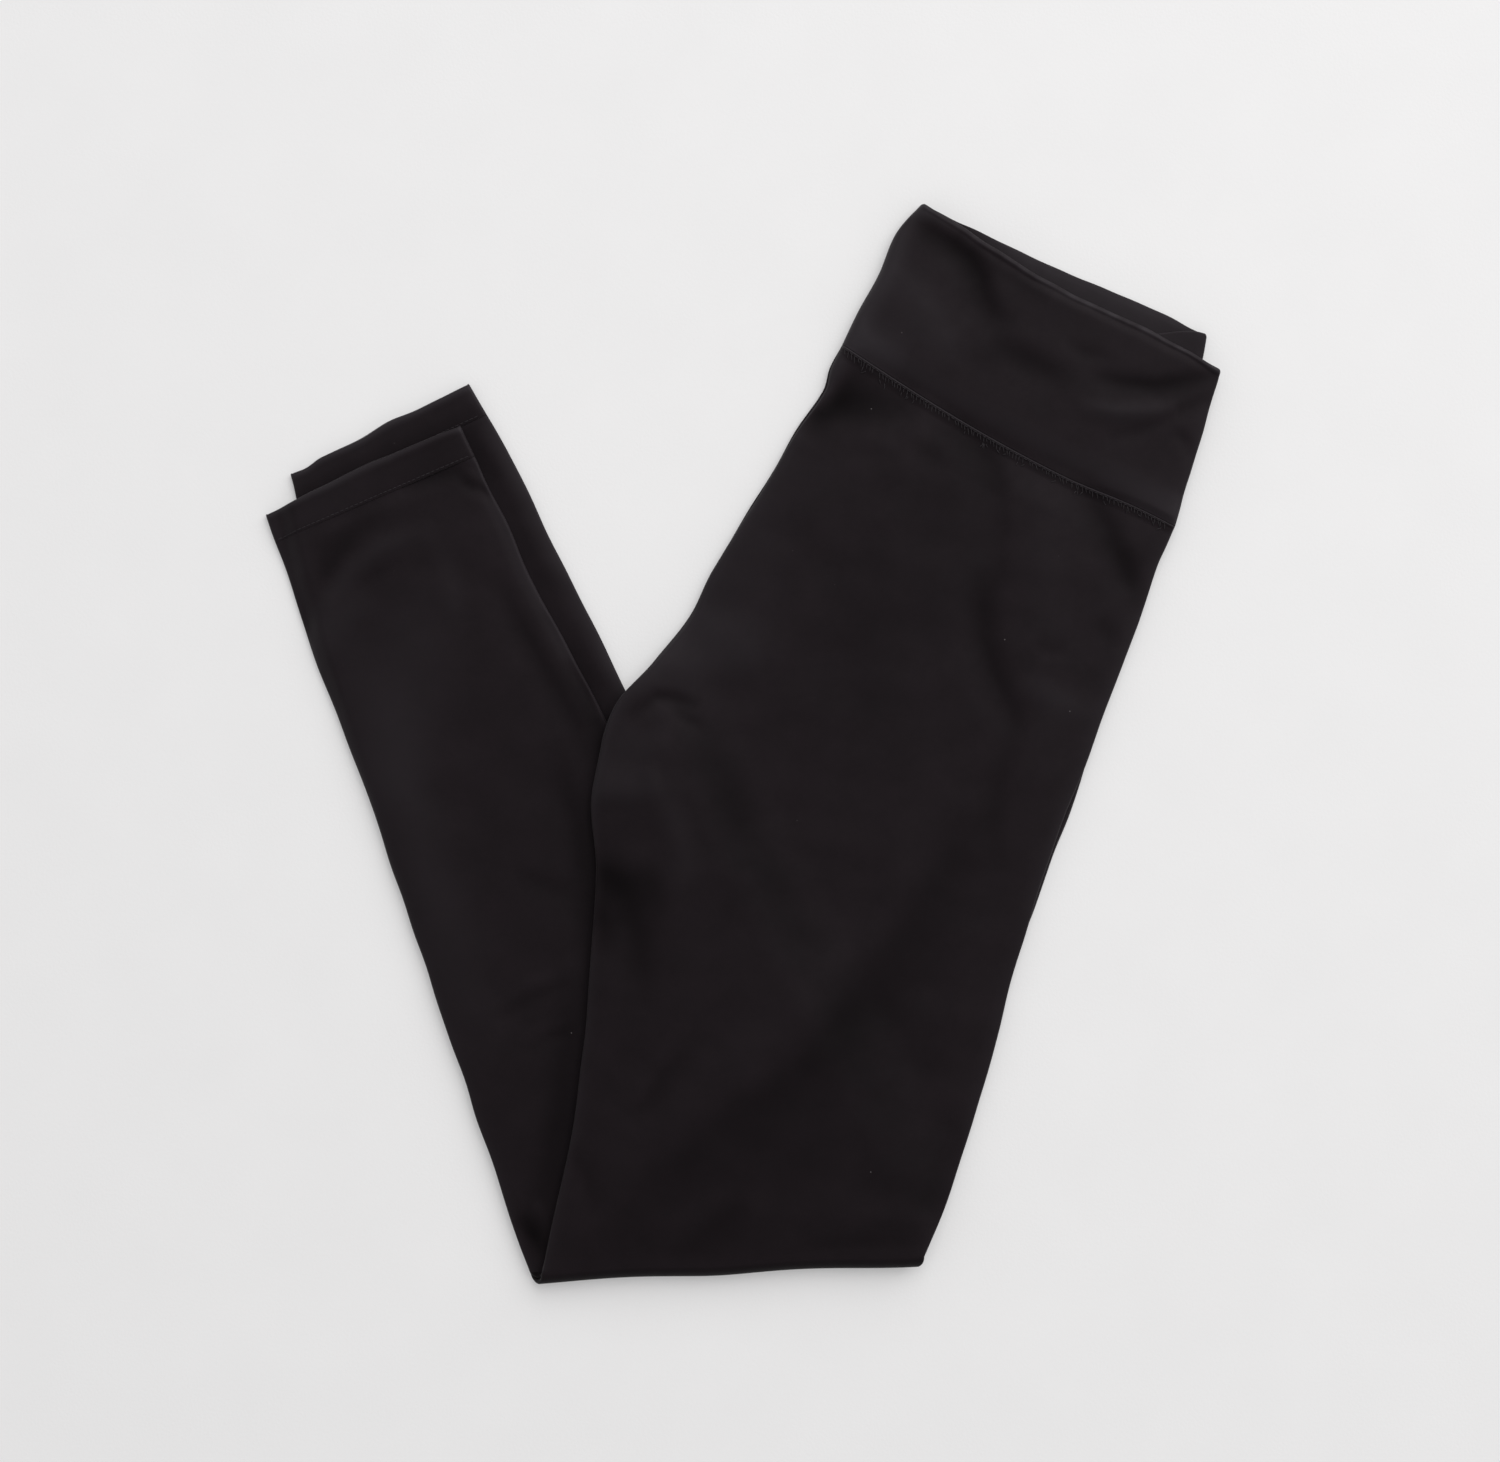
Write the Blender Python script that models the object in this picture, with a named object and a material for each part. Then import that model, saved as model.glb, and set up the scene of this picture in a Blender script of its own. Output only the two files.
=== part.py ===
"""High-waisted jersey leggings, folded and laid flat.

The pair is doubled along its centre, one leg on the other, and then folded under at the knee, so
four flattened leg tubes lie on each other there: from the surface up, the top leg's shin, the under
leg's shin, the under leg's thigh and the top leg's thigh. The waistband is one doubled ring, bent
like a hairpin round the centre seam. Each hem is a turned-up ring on the end of its leg.

Metres, +Z up. The origin is on the surface, under the middle of the folded pair. +Y runs from the
knee fold to the waist, and +X from the centre seam to the side of the hip. The back of the garment
faces out, so the top leg is the right one.
"""

import math
from collections import namedtuple

import bpy
from mathutils import Vector

MM = 0.001

# Thicknesses.
TUBE = 2.6 * MM  # a flattened leg: two walls of jersey and the air between them
WAIST_TUBE = 3.3 * MM  # the same at the waist seam, over the seam's turnings
LAYER_GAP = 0.4 * MM  # between tubes that lie on each other
SEAM_GAP = 0.3 * MM  # between pieces that are sewn together
PITCH = TUBE + LAYER_GAP  # from one layer of the stack to the next
BAND_WALL = 1.5 * MM  # the waistband is two cloths thick
BAND_SLIT = 0.6 * MM
BAND_TUBE = 2 * BAND_WALL + BAND_SLIT
HEM_WALL = 1.4 * MM
HEM_SLIT = 0.5 * MM
HEM_TUBE = 2 * HEM_WALL + HEM_SLIT
HEM_DEPTH = 15 * MM
HEM_GAPE = 0.9 * MM  # how far the mouth of a hem lies open at its middle
HEM_BOW = 1.5 * MM  # how far the middle of a hem's edge stands out past its corners

# The way the cloth lies.
DRAPE_START = 2 * MM  # past the shins' edge, where the thighs begin to come down
DRAPE_END = 46 * MM  # and where they reach the surface
DROOP_START = 1 * MM  # the same for the under leg's shin, past the edge of the shin below it
DROOP_END = 11 * MM
THIGH_PUFF = 1.4 * MM  # air that rounds the top thigh
SHIN_PUFF = 0.6 * MM
BAND_PUFF = 1.0 * MM
RIM = 7 * MM  # puff and creases fade out this near a tube's edges
END_FADE = 25 * MM  # and this near the seams and folds at its ends
EDGE_SHIFT_REACH = 25 * MM  # the under leg's edges leave the top one's over this much of its width
SEWN_FADE = 25 * MM  # the centre seam opens into two free edges over this length above the crotch
FRONT_DIP = 11 * MM  # the inner walls of the waistband stop this far below the outer ones
DIP_START = 0.8  # place across the waistband from which the dip runs out to the side

# Small waves of the waistband's edges, along the leg and positive towards the waist.
SEAM_SAG = -5 * MM
SEAM_RISE = 1.5 * MM
SEAM_RISE_AT, SEAM_RISE_REACH = 0.88, 0.2
SEAM_SAG_LENGTH = 40 * MM  # the seam's waves fade out this far down the thigh
TOP_EDGE_SAG = -3.5 * MM
UNDER_EDGE_SAG = -1.8 * MM
EDGE_SAG_AT, EDGE_SAG_REACH = 0.4, 0.45

# How finely the forms are cut up.
LEG_COLUMNS = 18
BAND_COLUMNS = 13
HEM_COLUMNS = 10
THIGH_SECTIONS = 29
SHIN_SECTIONS = 17
BEND_STEPS = 6
BAND_SECTIONS = 7
HEM_SECTIONS = 3

CLOTH_COLOUR = (0.0135, 0.0118, 0.0128)
CLOTH_ROUGHNESS = 0.92

# Cross lines of the thighs from the waist seam to the knee, in mm: the top leg's inner and outer
# ends. The under leg's inner end lies under_in past the top leg's, and its outer end lies under_out
# past the top leg's and under_up nearer to the waist.
ThighLine = namedtuple("ThighLine", "inner_x inner_y outer_x outer_y under_in under_out under_up")
THIGH = {
    "waist seam": ThighLine(51.0, 198.5, 215.6, 107.8, 0.0, -6.5, 16.5),
    "hip hollow": ThighLine(42.2, 176.2, 208.0, 88.5, 1.8, -3.5, 12.0),
    "hip": ThighLine(16.4, 139.0, 197.0, 56.5, 0.0, -2.0, 8.0),
    "mid rise": ThighLine(-15.3, 86.5, 181.8, 19.0, 0.0, -1.5, 4.0),
    "seat": ThighLine(-26.3, 64.5, 175.5, 1.0, 0.0, 0.0, 2.0),
    "low rise": ThighLine(-44.4, 41.5, 168.3, -18.5, 0.0, 1.0, 0.0),
    "crotch top": ThighLine(-64.3, 17.0, 156.5, -48.5, 0.0, 1.6, 0.0),
    "crotch point": ThighLine(-74.8, -24.5, 146.0, -78.5, -1.0, 0.8, 0.0),
    "upper inseam": ThighLine(-72.8, -63.5, 136.8, -108.5, -2.0, -1.0, 0.0),
    "mid thigh": ThighLine(-77.3, -133.5, 127.3, -146.0, -2.0, -1.5, 0.0),
    "low thigh": ThighLine(-83.3, -186.0, 116.3, -184.5, -2.0, -1.5, 0.0),
    "over knee": ThighLine(-91.3, -223.5, 103.8, -224.5, -1.5, -1.0, 0.0),
    "knee": ThighLine(-100.3, -264.8, 90.6, -255.8, 0.0, 0.0, 0.0),
}

# Cross lines of each shin from the knee to the edge of its hem, in mm.
ShinLine = namedtuple("ShinLine", "inner_x inner_y outer_x outer_y")
TOP_LEG_SHIN = {
    "knee": ShinLine(-106.4, -264.8, 87.6, -255.8),
    "under knee": ShinLine(-114.3, -238.0, 74.0, -231.5),
    "high calf": ShinLine(-129.3, -192.0, 43.8, -173.0),
    "calf": ShinLine(-146.8, -139.5, 13.3, -113.5),
    "low calf": ShinLine(-168.3, -71.0, -24.8, -39.5),
    "mid shin": ShinLine(-188.3, -8.5, -60.8, 30.5),
    "low shin": ShinLine(-206.3, 51.5, -91.3, 91.5),
    "ankle": ShinLine(-216.8, 91.5, -112.3, 134.5),
    "hem": ShinLine(-226.3, 133.5, -136.3, 178.5),
}
UNDER_LEG_SHIN = {
    "knee": ShinLine(-106.4, -264.8, 87.6, -255.8),
    "under knee": ShinLine(-115.1, -238.0, 71.0, -230.5),
    "high calf": ShinLine(-131.1, -191.0, 37.3, -172.5),
    "calf": ShinLine(-149.5, -138.5, 2.8, -113.5),
    "low calf": ShinLine(-172.5, -71.0, -37.3, -44.5),
    "mid shin": ShinLine(-193.1, -11.0, -74.3, 23.5),
    "low shin": ShinLine(-213.2, 41.5, -104.8, 81.0),
    "ankle": ShinLine(-226.0, 79.0, -122.8, 120.5),
    "hem": ShinLine(-238.2, 113.5, -140.8, 157.5),
}

# Cross lines of the waistband from its seam to its top edge, in mm: the centre end, which both
# halves share, the side end of the top half and the side end of the under half.
BandLine = namedtuple("BandLine", "inner_x inner_y outer_x outer_y under_x under_y")
BAND = {
    "seam": BandLine(51.0, 198.5, 215.6, 107.8, 217.7, 125.4),
    "low": BandLine(58.3, 216.0, 222.8, 131.0, 221.3, 144.5),
    "middle": BandLine(67.3, 235.0, 229.3, 153.5, 225.0, 164.0),
    "high": BandLine(76.8, 255.0, 234.3, 170.0, 228.8, 184.0),
    "top edge": BandLine(89.8, 270.3, 238.2, 185.5, 232.3, 203.5),
}

# The largest folds, in mm: each runs from its start to its end over a bow in its middle, positive
# to the left of its way. A ridge has a positive height, and a trough a negative one.
Fold = namedtuple("Fold", "start_x start_y end_x end_y bow height half_width")
THIGH_FOLDS = {
    "knee to side trough": Fold(-72.0, -262.0, 94.0, -84.0, 6.0, -1.7, 11.0),
    "knee to side ridge": Fold(-58.0, -232.0, 66.0, -90.0, 8.0, 0.9, 13.0),
    "crotch trough": Fold(-68.0, -56.0, -22.0, -158.0, -10.0, -1.5, 10.0),
    "hip trough": Fold(118.0, 150.0, 144.0, 12.0, -7.0, -1.1, 12.0),
    "side trough": Fold(132.0, 20.0, 92.0, -96.0, 8.0, -0.8, 13.0),
    "side ridge": Fold(166.0, 78.0, 134.0, -44.0, 4.0, 0.8, 13.0),
    "seam trough": Fold(172.0, 122.0, 200.0, 74.0, 5.0, -1.3, 9.0),
}
BAND_FOLDS = {
    "corner trough": Fold(80.0, 261.0, 140.0, 214.0, 3.0, -1.3, 8.0),
    "middle trough": Fold(126.0, 206.0, 156.0, 186.0, 0.0, -0.8, 9.0),
    "side trough": Fold(168.0, 190.0, 232.0, 175.0, 3.0, -1.4, 7.0),
    "side ridge": Fold(166.0, 172.0, 226.0, 164.0, 2.0, 0.8, 6.0),
}
SHIN_FOLDS = {
    "ankle ridge": Fold(-214.0, 60.0, -166.0, 106.0, 7.0, 1.2, 7.0),
    "ankle trough": Fold(-196.0, 64.0, -164.0, 94.0, 4.0, -0.6, 7.0),
    "calf trough": Fold(-112.0, 96.0, -96.0, 30.0, 2.0, -0.5, 9.0),
}


def smooth(low, high, value):
    """0 up to low, 1 from high on, and a soft step between them."""
    share = min(1.0, max(0.0, (value - low) / (high - low)))
    return share * share * (3 - 2 * share)


def bump(value, centre, reach):
    """1 at centre and 0 from reach away on."""
    return 0.5 + 0.5 * math.cos(math.pi * min(1.0, abs(value - centre) / reach))


def dome(share):
    """0 at both ends of a width and 1 at its middle, with a broad top."""
    return math.sqrt(max(0.0, 4 * share * (1 - share)))


def seam_wave(share):
    """How far the waist seam leaves its straight line, towards the waist."""
    share = min(1.0, max(0.0, share))
    sag = SEAM_SAG * math.sin(math.pi * share)
    return sag + SEAM_RISE * bump(share, SEAM_RISE_AT, SEAM_RISE_REACH)


class Track:
    """A smooth run through a table's rows, which are met at their distances along the middle line."""

    def __init__(self, table):
        self.rows = [[value * MM for value in line] for line in table.values()]
        self.places = [0.0]
        for before, after in zip(self.rows, self.rows[1:]):
            middles = [Vector((r[0] + r[2], r[1] + r[3])) / 2 for r in (before, after)]
            self.places.append(self.places[-1] + (middles[1] - middles[0]).length)
        self.length = self.places[-1]

    def slope(self, row, column):
        """How fast a column changes at a row."""
        first, last = max(row - 1, 0), min(row + 1, len(self.rows) - 1)
        rise = self.rows[last][column] - self.rows[first][column]
        return rise / (self.places[last] - self.places[first])

    def at(self, distance):
        """All columns at a distance along the middle line."""
        row = 0
        while row < len(self.places) - 2 and distance > self.places[row + 1]:
            row += 1
        span = self.places[row + 1] - self.places[row]
        t = (distance - self.places[row]) / span
        start, start_slope = (1 + 2 * t) * (1 - t) ** 2, t * (1 - t) ** 2 * span
        end, end_slope = t * t * (3 - 2 * t), t * t * (t - 1) * span
        return [
            start * self.rows[row][c]
            + start_slope * self.slope(row, c)
            + end * self.rows[row + 1][c]
            + end_slope * self.slope(row + 1, c)
            for c in range(len(self.rows[0]))
        ]

    def edge(self, column, steps=60):
        """Points along one edge: column 0 for the inner one and 2 for the outer one."""
        lines = [self.at(self.length * i / steps) for i in range(steps + 1)]
        return [Vector((line[column], line[column + 1])) for line in lines]


class CrossLine:
    """A straight line across a tube, with ways to measure along it and square to it."""

    def __init__(self, inner, outer):
        self.inner = inner
        self.width = (outer - inner).length
        self.along = (outer - inner) / self.width
        self.up = Vector((-self.along.y, self.along.x))

    def point(self, across, shift=0.0):
        """The place so far from the inner end, moved by shift square to the line."""
        return self.inner + self.along * across + self.up * shift

    def share(self, across):
        """How far across the line that is, from 0 to 1."""
        return min(1.0, max(0.0, across / self.width))

    def rim_fade(self, across):
        """0 at the line's ends and 1 between its rims."""
        return smooth(0, RIM, min(across, self.width - across))


def past_edge(point, edge):
    """How far a point lies to the right of an edge, going along it, or to its left if negative."""
    nearest, side = math.inf, 1.0
    for start, end in zip(edge, edge[1:]):
        way = end - start
        share = min(1.0, max(0.0, (point - start).dot(way) / way.length_squared))
        off = point - (start + way * share)
        if off.length < nearest:
            nearest = off.length
            side = math.copysign(1.0, way.y * off.x - way.x * off.y)
    return nearest * side


def fold_relief(point, folds):
    """The height that a panel's folds add at a point."""
    height = 0.0
    for fold in folds.values():
        start = Vector((fold.start_x, fold.start_y)) * MM
        way = Vector((fold.end_x, fold.end_y)) * MM - start
        share = (point - start).dot(way) / way.length_squared
        if 0 < share < 1:
            left = Vector((-way.y, way.x)).normalized()
            off = (point - start).dot(left) - fold.bow * MM * 4 * share * (1 - share)
            fade = math.sin(math.pi * share)
            height += fold.height * MM * fade * math.exp(-((off / (fold.half_width * MM)) ** 2))
    return height


def inner_edge_point(angle, radius, sewn, lip):
    """Where a tube's inner edge is at an angle: how far in from its end, and how far off its middle.

    A free edge is round. A sewn one is a quarter round that ends in a lip on the side that meets
    the other leg: lip is 1 if that is the side that the angle 90 is on, and -1 if not.
    """
    turn = math.radians(angle)
    free = (radius - radius * math.cos(turn), radius * math.sin(turn))
    quarter = math.radians((90 - angle * lip) / 2)
    closed = (2 * radius * (1 - math.cos(quarter)), lip * radius * (1 - 2 * math.sin(quarter)))
    return tuple(a + (b - a) * sewn for a, b in zip(free, closed))


def tube_loop(width, radius, columns, sewn=0.0, lip=-1):
    """A flattened tube's outline, as (distance from its inner end, distance off its middle).

    It starts at the middle of the inner edge, runs along the outer wall and comes back along the
    inner wall. The point at place i faces the one at place -i.
    """
    loop = []
    for side in (1, -1):
        inner = [inner_edge_point(angle * side, radius, sewn, lip) for angle in (0, 45)]
        start_in, start_off = inner_edge_point(90 * side, radius, sewn, lip)
        run = width - radius - start_in
        wall = [(start_in + run * i / columns, start_off) for i in range(columns + 1)]
        turns = [math.radians(angle * side) for angle in (45, 0)]
        outer = [(width - radius + radius * math.cos(a), radius * math.sin(a)) for a in turns]
        half = inner + wall + outer
        loop += half[:-1] if side == 1 else half[:0:-1]
    return loop


def cloth_material():
    """Black cotton jersey."""
    made = bpy.data.materials.new("black_jersey")
    made.use_nodes = True
    shader = made.node_tree.nodes["Principled BSDF"]
    shader.inputs["Base Color"].default_value = (*CLOTH_COLOUR, 1.0)
    shader.inputs["Roughness"].default_value = CLOTH_ROUGHNESS
    shader.inputs["Metallic"].default_value = 0.0
    return made


def sides_between(count, rings, first=0, inward=False):
    """Triangles that join each ring of points to the next one.

    The two halves of a ring are cut along the same diagonals, seen from above, so that the walls
    of tubes that lie on each other stay parallel.
    """
    faces = []
    for ring in range(rings - 1):
        a, b = first + ring * count, first + (ring + 1) * count
        for i in range(count):
            j = (i + 1) % count
            if i < count // 2:
                pair = [(a + i, b + j, a + j), (a + i, b + i, b + j)]
            else:
                pair = [(a + j, a + i, b + i), (a + j, b + i, b + j)]
            faces += [face[::-1] for face in pair] if inward else pair
    return faces


def ladder_cap(count, first, flip=False):
    """Faces that close a ring whose point i faces its point -i."""
    half = count // 2
    faces = [(first, first + 1, first + count - 1)]
    for i in range(1, half - 1):
        faces.append((first + i, first + i + 1, first + count - i - 1, first + count - i))
    faces.append((first + half - 1, first + half, first + half + 1))
    return [face[::-1] for face in faces] if flip else faces


def new_object(name, points, faces, home, material):
    """A mesh object, shaded smooth but for its sharp edges."""
    mesh = bpy.data.meshes.new(name)
    mesh.from_pydata(points, [], faces)
    mesh.materials.append(material)
    mesh.shade_smooth()
    mesh.set_sharp_from_angle(angle=math.radians(50))
    home.objects.link(bpy.data.objects.new(name, mesh))


def closed_loft(name, rings, home, material):
    """A solid through rings of points, closed at both ends."""
    count = len(rings[0])
    faces = sides_between(count, len(rings))
    faces += ladder_cap(count, 0)
    faces += ladder_cap(count, (len(rings) - 1) * count, flip=True)
    new_object(name, [point for ring in rings for point in ring], faces, home, material)


def sleeve_loft(name, outer_rings, inner_rings, home, material):
    """A hollow solid between two sets of rings, open at both ends."""
    count, rings = len(outer_rings[0]), len(outer_rings)
    inside = rings * count
    last = (rings - 1) * count
    faces = sides_between(count, rings)
    faces += sides_between(count, rings, first=inside, inward=True)
    for i in range(count):
        j = (i + 1) % count
        faces.append((i, j, inside + j, inside + i))
        faces.append((last + j, last + i, inside + last + i, inside + last + j))
    points = [point for ring in outer_rings + inner_rings for point in ring]
    new_object(name, points, faces, home, material)


class Leg:
    """One leg, folded at the knee: its thigh lies over its shin."""

    def __init__(self, shin_table, is_top):
        self.thigh = Track(THIGH)
        self.shin = Track(shin_table)
        self.is_top = is_top
        self.bend_radius = PITCH * (1.5 if is_top else 0.5)
        self.crotch = self.thigh.places[list(THIGH).index("crotch point")]
        self.thighs_edge = self.thigh.edge(0)
        self.lowest_shin_inner_edge = Track(TOP_LEG_SHIN).edge(0)
        self.lowest_shin_outer_edge = Track(TOP_LEG_SHIN).edge(2)

    def thigh_tube(self, distance):
        """The thigh's thickness, which falls off below the waist seam."""
        return WAIST_TUBE + (TUBE - WAIST_TUBE) * smooth(0, 30 * MM, distance)

    def thigh_base(self, place, distance):
        """The height of the thigh's underside."""
        past_shins = past_edge(place, self.lowest_shin_outer_edge)
        on_shins = 2 * PITCH * (1 - smooth(DRAPE_START, DRAPE_END, past_shins))
        return on_shins + (self.thigh_tube(distance) + LAYER_GAP if self.is_top else 0.0)

    def thigh_ring(self, distance):
        """The thigh's outline at a distance below the waist seam."""
        in_x, in_y, out_x, out_y, under_in, under_out, under_up = self.thigh.at(distance)
        line = CrossLine(Vector((in_x, in_y)), Vector((out_x, out_y)))
        radius = self.thigh_tube(distance) / 2
        sewn = 1 - smooth(self.crotch - SEWN_FADE, self.crotch, distance)
        wave_fade = 1 - smooth(0, SEAM_SAG_LENGTH, distance)
        ring = []
        lip = -1 if self.is_top else 1
        for across, off in tube_loop(line.width, radius, LEG_COLUMNS, sewn, lip):
            share = line.share(across)
            shift = seam_wave(share) * wave_fade
            spread = 0.0
            if not self.is_top:
                shift += under_up * share
                spread += under_out * (1 - smooth(0, EDGE_SHIFT_REACH, line.width - across))
                spread -= under_in * (1 - smooth(0, EDGE_SHIFT_REACH, across))
            place = line.point(across + spread, shift)
            height = self.thigh_base(place, distance) + radius + off
            if self.is_top and off > 0:
                height += self.thigh_lift(place, line, across, distance) * off / radius
            ring.append((place.x, place.y, height))
        return ring

    def thigh_lift(self, place, line, across, distance):
        """What puff and folds add to the top of the thigh."""
        ends = smooth(0, END_FADE, distance) * smooth(0, END_FADE, self.thigh.length - distance)
        lift = THIGH_PUFF * dome(line.share(across)) + fold_relief(place, THIGH_FOLDS)
        return lift * ends * line.rim_fade(across)

    def bend_rings(self):
        """The outlines round the knee fold, from the thigh down to the shin."""
        over_ends = self.thigh.at(self.thigh.length)[:4]
        under_ends = self.shin.at(0.0)
        axis_height = 1.5 * PITCH + TUBE / 2  # the middle of the four layers
        rings = []
        for step in range(BEND_STEPS + 1):
            turn = math.radians(90 - 180 * step / BEND_STEPS)
            mix = (1 - math.sin(turn)) / 2
            ends = [over + (under - over) * mix for over, under in zip(over_ends, under_ends)]
            line = CrossLine(Vector(ends[:2]), Vector(ends[2:]))
            ring = []
            for across, off in tube_loop(line.width, TUBE / 2, LEG_COLUMNS):
                reach = self.bend_radius + off
                place = line.point(across, -reach * math.cos(turn))
                ring.append((place.x, place.y, axis_height + reach * math.sin(turn)))
            rings.append(ring)
        return rings

    def shin_line(self, distance):
        """The line across the shin at a distance past the knee."""
        in_x, in_y, out_x, out_y = self.shin.at(distance)
        return CrossLine(Vector((in_x, in_y)), Vector((out_x, out_y)))

    def shin_base(self, place, distance):
        """The height of the shin's underside: the top leg's is the lowest layer and lies flat."""
        if self.is_top:
            return 0.0
        from_hem = self.shin.length - distance
        over_hem = (HEM_TUBE - TUBE) * (1 - smooth(HEM_DEPTH, 3 * HEM_DEPTH, from_hem))
        past_lowest = -past_edge(place, self.lowest_shin_inner_edge)
        return (PITCH + over_hem) * (1 - smooth(DROOP_START, DROOP_END, past_lowest))

    def shin_ring(self, distance):
        """The shin's outline at a distance past the knee."""
        line = self.shin_line(distance)
        ring = []
        for across, off in tube_loop(line.width, TUBE / 2, LEG_COLUMNS):
            place = line.point(across)
            height = self.shin_base(place, distance) + TUBE / 2 - off
            if off < 0 and not self.is_top:
                height -= self.shin_lift(place, line, across, distance) * off / (TUBE / 2)
            ring.append((place.x, place.y, height))
        return ring

    def shin_lift(self, place, line, across, distance):
        """What puff and folds add to the under leg's shin, where no thigh lies on it."""
        bare = smooth(DRAPE_START, 2 * RIM, past_edge(place, self.thighs_edge))
        above_hem = smooth(0, RIM, self.shin.length - HEM_DEPTH - distance)
        lift = SHIN_PUFF * dome(line.share(across)) + fold_relief(place, SHIN_FOLDS)
        return lift * bare * above_hem * line.rim_fade(across)

    def rings(self):
        """All outlines, from the waist seam round the knee to the hem's seam."""
        start = SEAM_GAP / 2
        run = (self.thigh.length - start) / THIGH_SECTIONS
        rings = [self.thigh_ring(start + run * i) for i in range(THIGH_SECTIONS)]
        rings += self.bend_rings()
        run = (self.shin.length - HEM_DEPTH - SEAM_GAP / 2) / SHIN_SECTIONS
        rings += [self.shin_ring(run * i) for i in range(1, SHIN_SECTIONS + 1)]
        return rings

    def hem_point(self, line, distance, share, across, off):
        """A place on the hem: share is 0 at its seam and 1 at its mouth."""
        middle = dome(line.share(across)) ** 2
        place = line.point(across, HEM_BOW * middle * share)
        height = self.shin_base(place, distance) + HEM_TUBE / 2 - off
        if off < 0:
            height += HEM_GAPE * middle * share
        return (place.x, place.y, height)

    def hem_rings(self):
        """The turned-up hem's outer and inner outlines: a flattened ring, a little open at its mouth."""
        start = self.shin.length - HEM_DEPTH + SEAM_GAP / 2
        outer_rings, inner_rings = [], []
        for i in range(HEM_SECTIONS):
            share = i / (HEM_SECTIONS - 1)
            distance = start + (self.shin.length - start) * share
            line = self.shin_line(distance)
            outside = tube_loop(line.width, HEM_TUBE / 2, HEM_COLUMNS)
            inside = tube_loop(line.width - 2 * HEM_WALL, HEM_SLIT / 2, HEM_COLUMNS)
            inside = [(across + HEM_WALL, off) for across, off in inside]
            outer_rings.append([self.hem_point(line, distance, share, *spot) for spot in outside])
            inner_rings.append([self.hem_point(line, distance, share, *spot) for spot in inside])
        return outer_rings, inner_rings


# A place on the doubled waistband's outline. half is 1 on the top half and -1 on the under half.
# share is 0 where the halves bend into each other and 1 at the side, and inset is what is added to
# it along the band. facing is 1 on the walls that face out and 0 on the two that face each other.
BandSpot = namedtuple("BandSpot", "half share inset height facing")


class Waistband:
    """The doubled ring of the waistband, bent round the centre seam like a hairpin."""

    half_pitch = (BAND_TUBE + LAYER_GAP) / 2  # from the plane between the halves to each one's middle
    fold_height = BAND_TUBE + LAYER_GAP / 2  # of the plane between the halves

    def __init__(self):
        self.track = Track(BAND)

    def loop(self, radius):
        """The places round the hairpin, at a distance off its middle line."""
        shares = [i / BAND_COLUMNS for i in range(BAND_COLUMNS + 1)]
        outer, inner = self.half_pitch + radius, self.half_pitch - radius
        turns = [math.radians(angle) for angle in (-45, 0, 45)]
        spots = [BandSpot(1, share, 0.0, outer, 1) for share in shares[::-1]]
        for turn in turns[::-1]:
            half = 1 if turn >= 0 else -1
            spots.append(BandSpot(half, 0.0, -outer * math.cos(turn), outer * math.sin(turn), 1))
        spots += [BandSpot(-1, share, 0.0, -outer, 1) for share in shares]
        for turn in turns:
            height = radius * math.sin(turn) - self.half_pitch
            facing = (1 - math.sin(turn)) / 2
            spots.append(BandSpot(-1, 1.0, radius * math.cos(turn), height, facing))
        spots += [BandSpot(-1, share, 0.0, -inner, 0) for share in shares[::-1]]
        for turn in turns:
            half = 1 if turn >= 0 else -1
            spots.append(BandSpot(half, 0.0, -inner * math.cos(turn), inner * math.sin(turn), 0))
        spots += [BandSpot(1, share, 0.0, inner, 0) for share in shares]
        for turn in turns:
            height = radius * math.sin(turn) + self.half_pitch
            facing = (1 + math.sin(turn)) / 2
            spots.append(BandSpot(1, 1.0, radius * math.cos(turn), height, facing))
        return spots

    def point(self, level, spot, radius):
        """A spot's place at a level of the band, from 0 at its seam to 1 at its top edge."""
        dip = FRONT_DIP / self.track.length * (1 - smooth(DIP_START, 1.0, spot.share))
        level *= 1 - dip * (1 - spot.facing)
        start = SEAM_GAP / 2
        distance = start + (self.track.length - start) * level
        in_x, in_y, out_x, out_y, under_x, under_y = self.track.at(distance)
        side = Vector((out_x, out_y)) if spot.half == 1 else Vector((under_x, under_y))
        line = CrossLine(Vector((in_x, in_y)), side)
        bend = self.half_pitch + BAND_TUBE / 2
        across = bend + (line.width - BAND_TUBE / 2 - bend) * spot.share + spot.inset
        place = line.point(across, self.wave(line.share(across), level, spot.half))
        height = self.fold_height + spot.height
        if spot.half == 1 and spot.height > self.half_pitch and radius == BAND_TUBE / 2:
            ends = smooth(0, 2 * RIM, distance) * smooth(0, RIM, self.track.length - distance)
            lift = BAND_PUFF * dome(line.share(across)) + fold_relief(place, BAND_FOLDS)
            height += lift * ends * line.rim_fade(across)
        return (place.x, place.y, height)

    def wave(self, share, level, half):
        """How far the band's cross line leaves its straight way, towards the top edge."""
        edge_sag = TOP_EDGE_SAG if half == 1 else UNDER_EDGE_SAG
        edge = edge_sag * bump(share, EDGE_SAG_AT, EDGE_SAG_REACH)
        return seam_wave(share) * (1 - level) + edge * level

    def rings(self, radius):
        """The outlines from the seam to the top edge, at a distance off the hairpin's middle line."""
        spots = self.loop(radius)
        levels = [i / (BAND_SECTIONS - 1) for i in range(BAND_SECTIONS)]
        return [[self.point(level, spot, radius) for spot in spots] for level in levels]


def clear_scene():
    """Removes what the scene holds at the start."""
    for old in list(bpy.data.objects):
        bpy.data.objects.remove(old, do_unlink=True)


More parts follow.
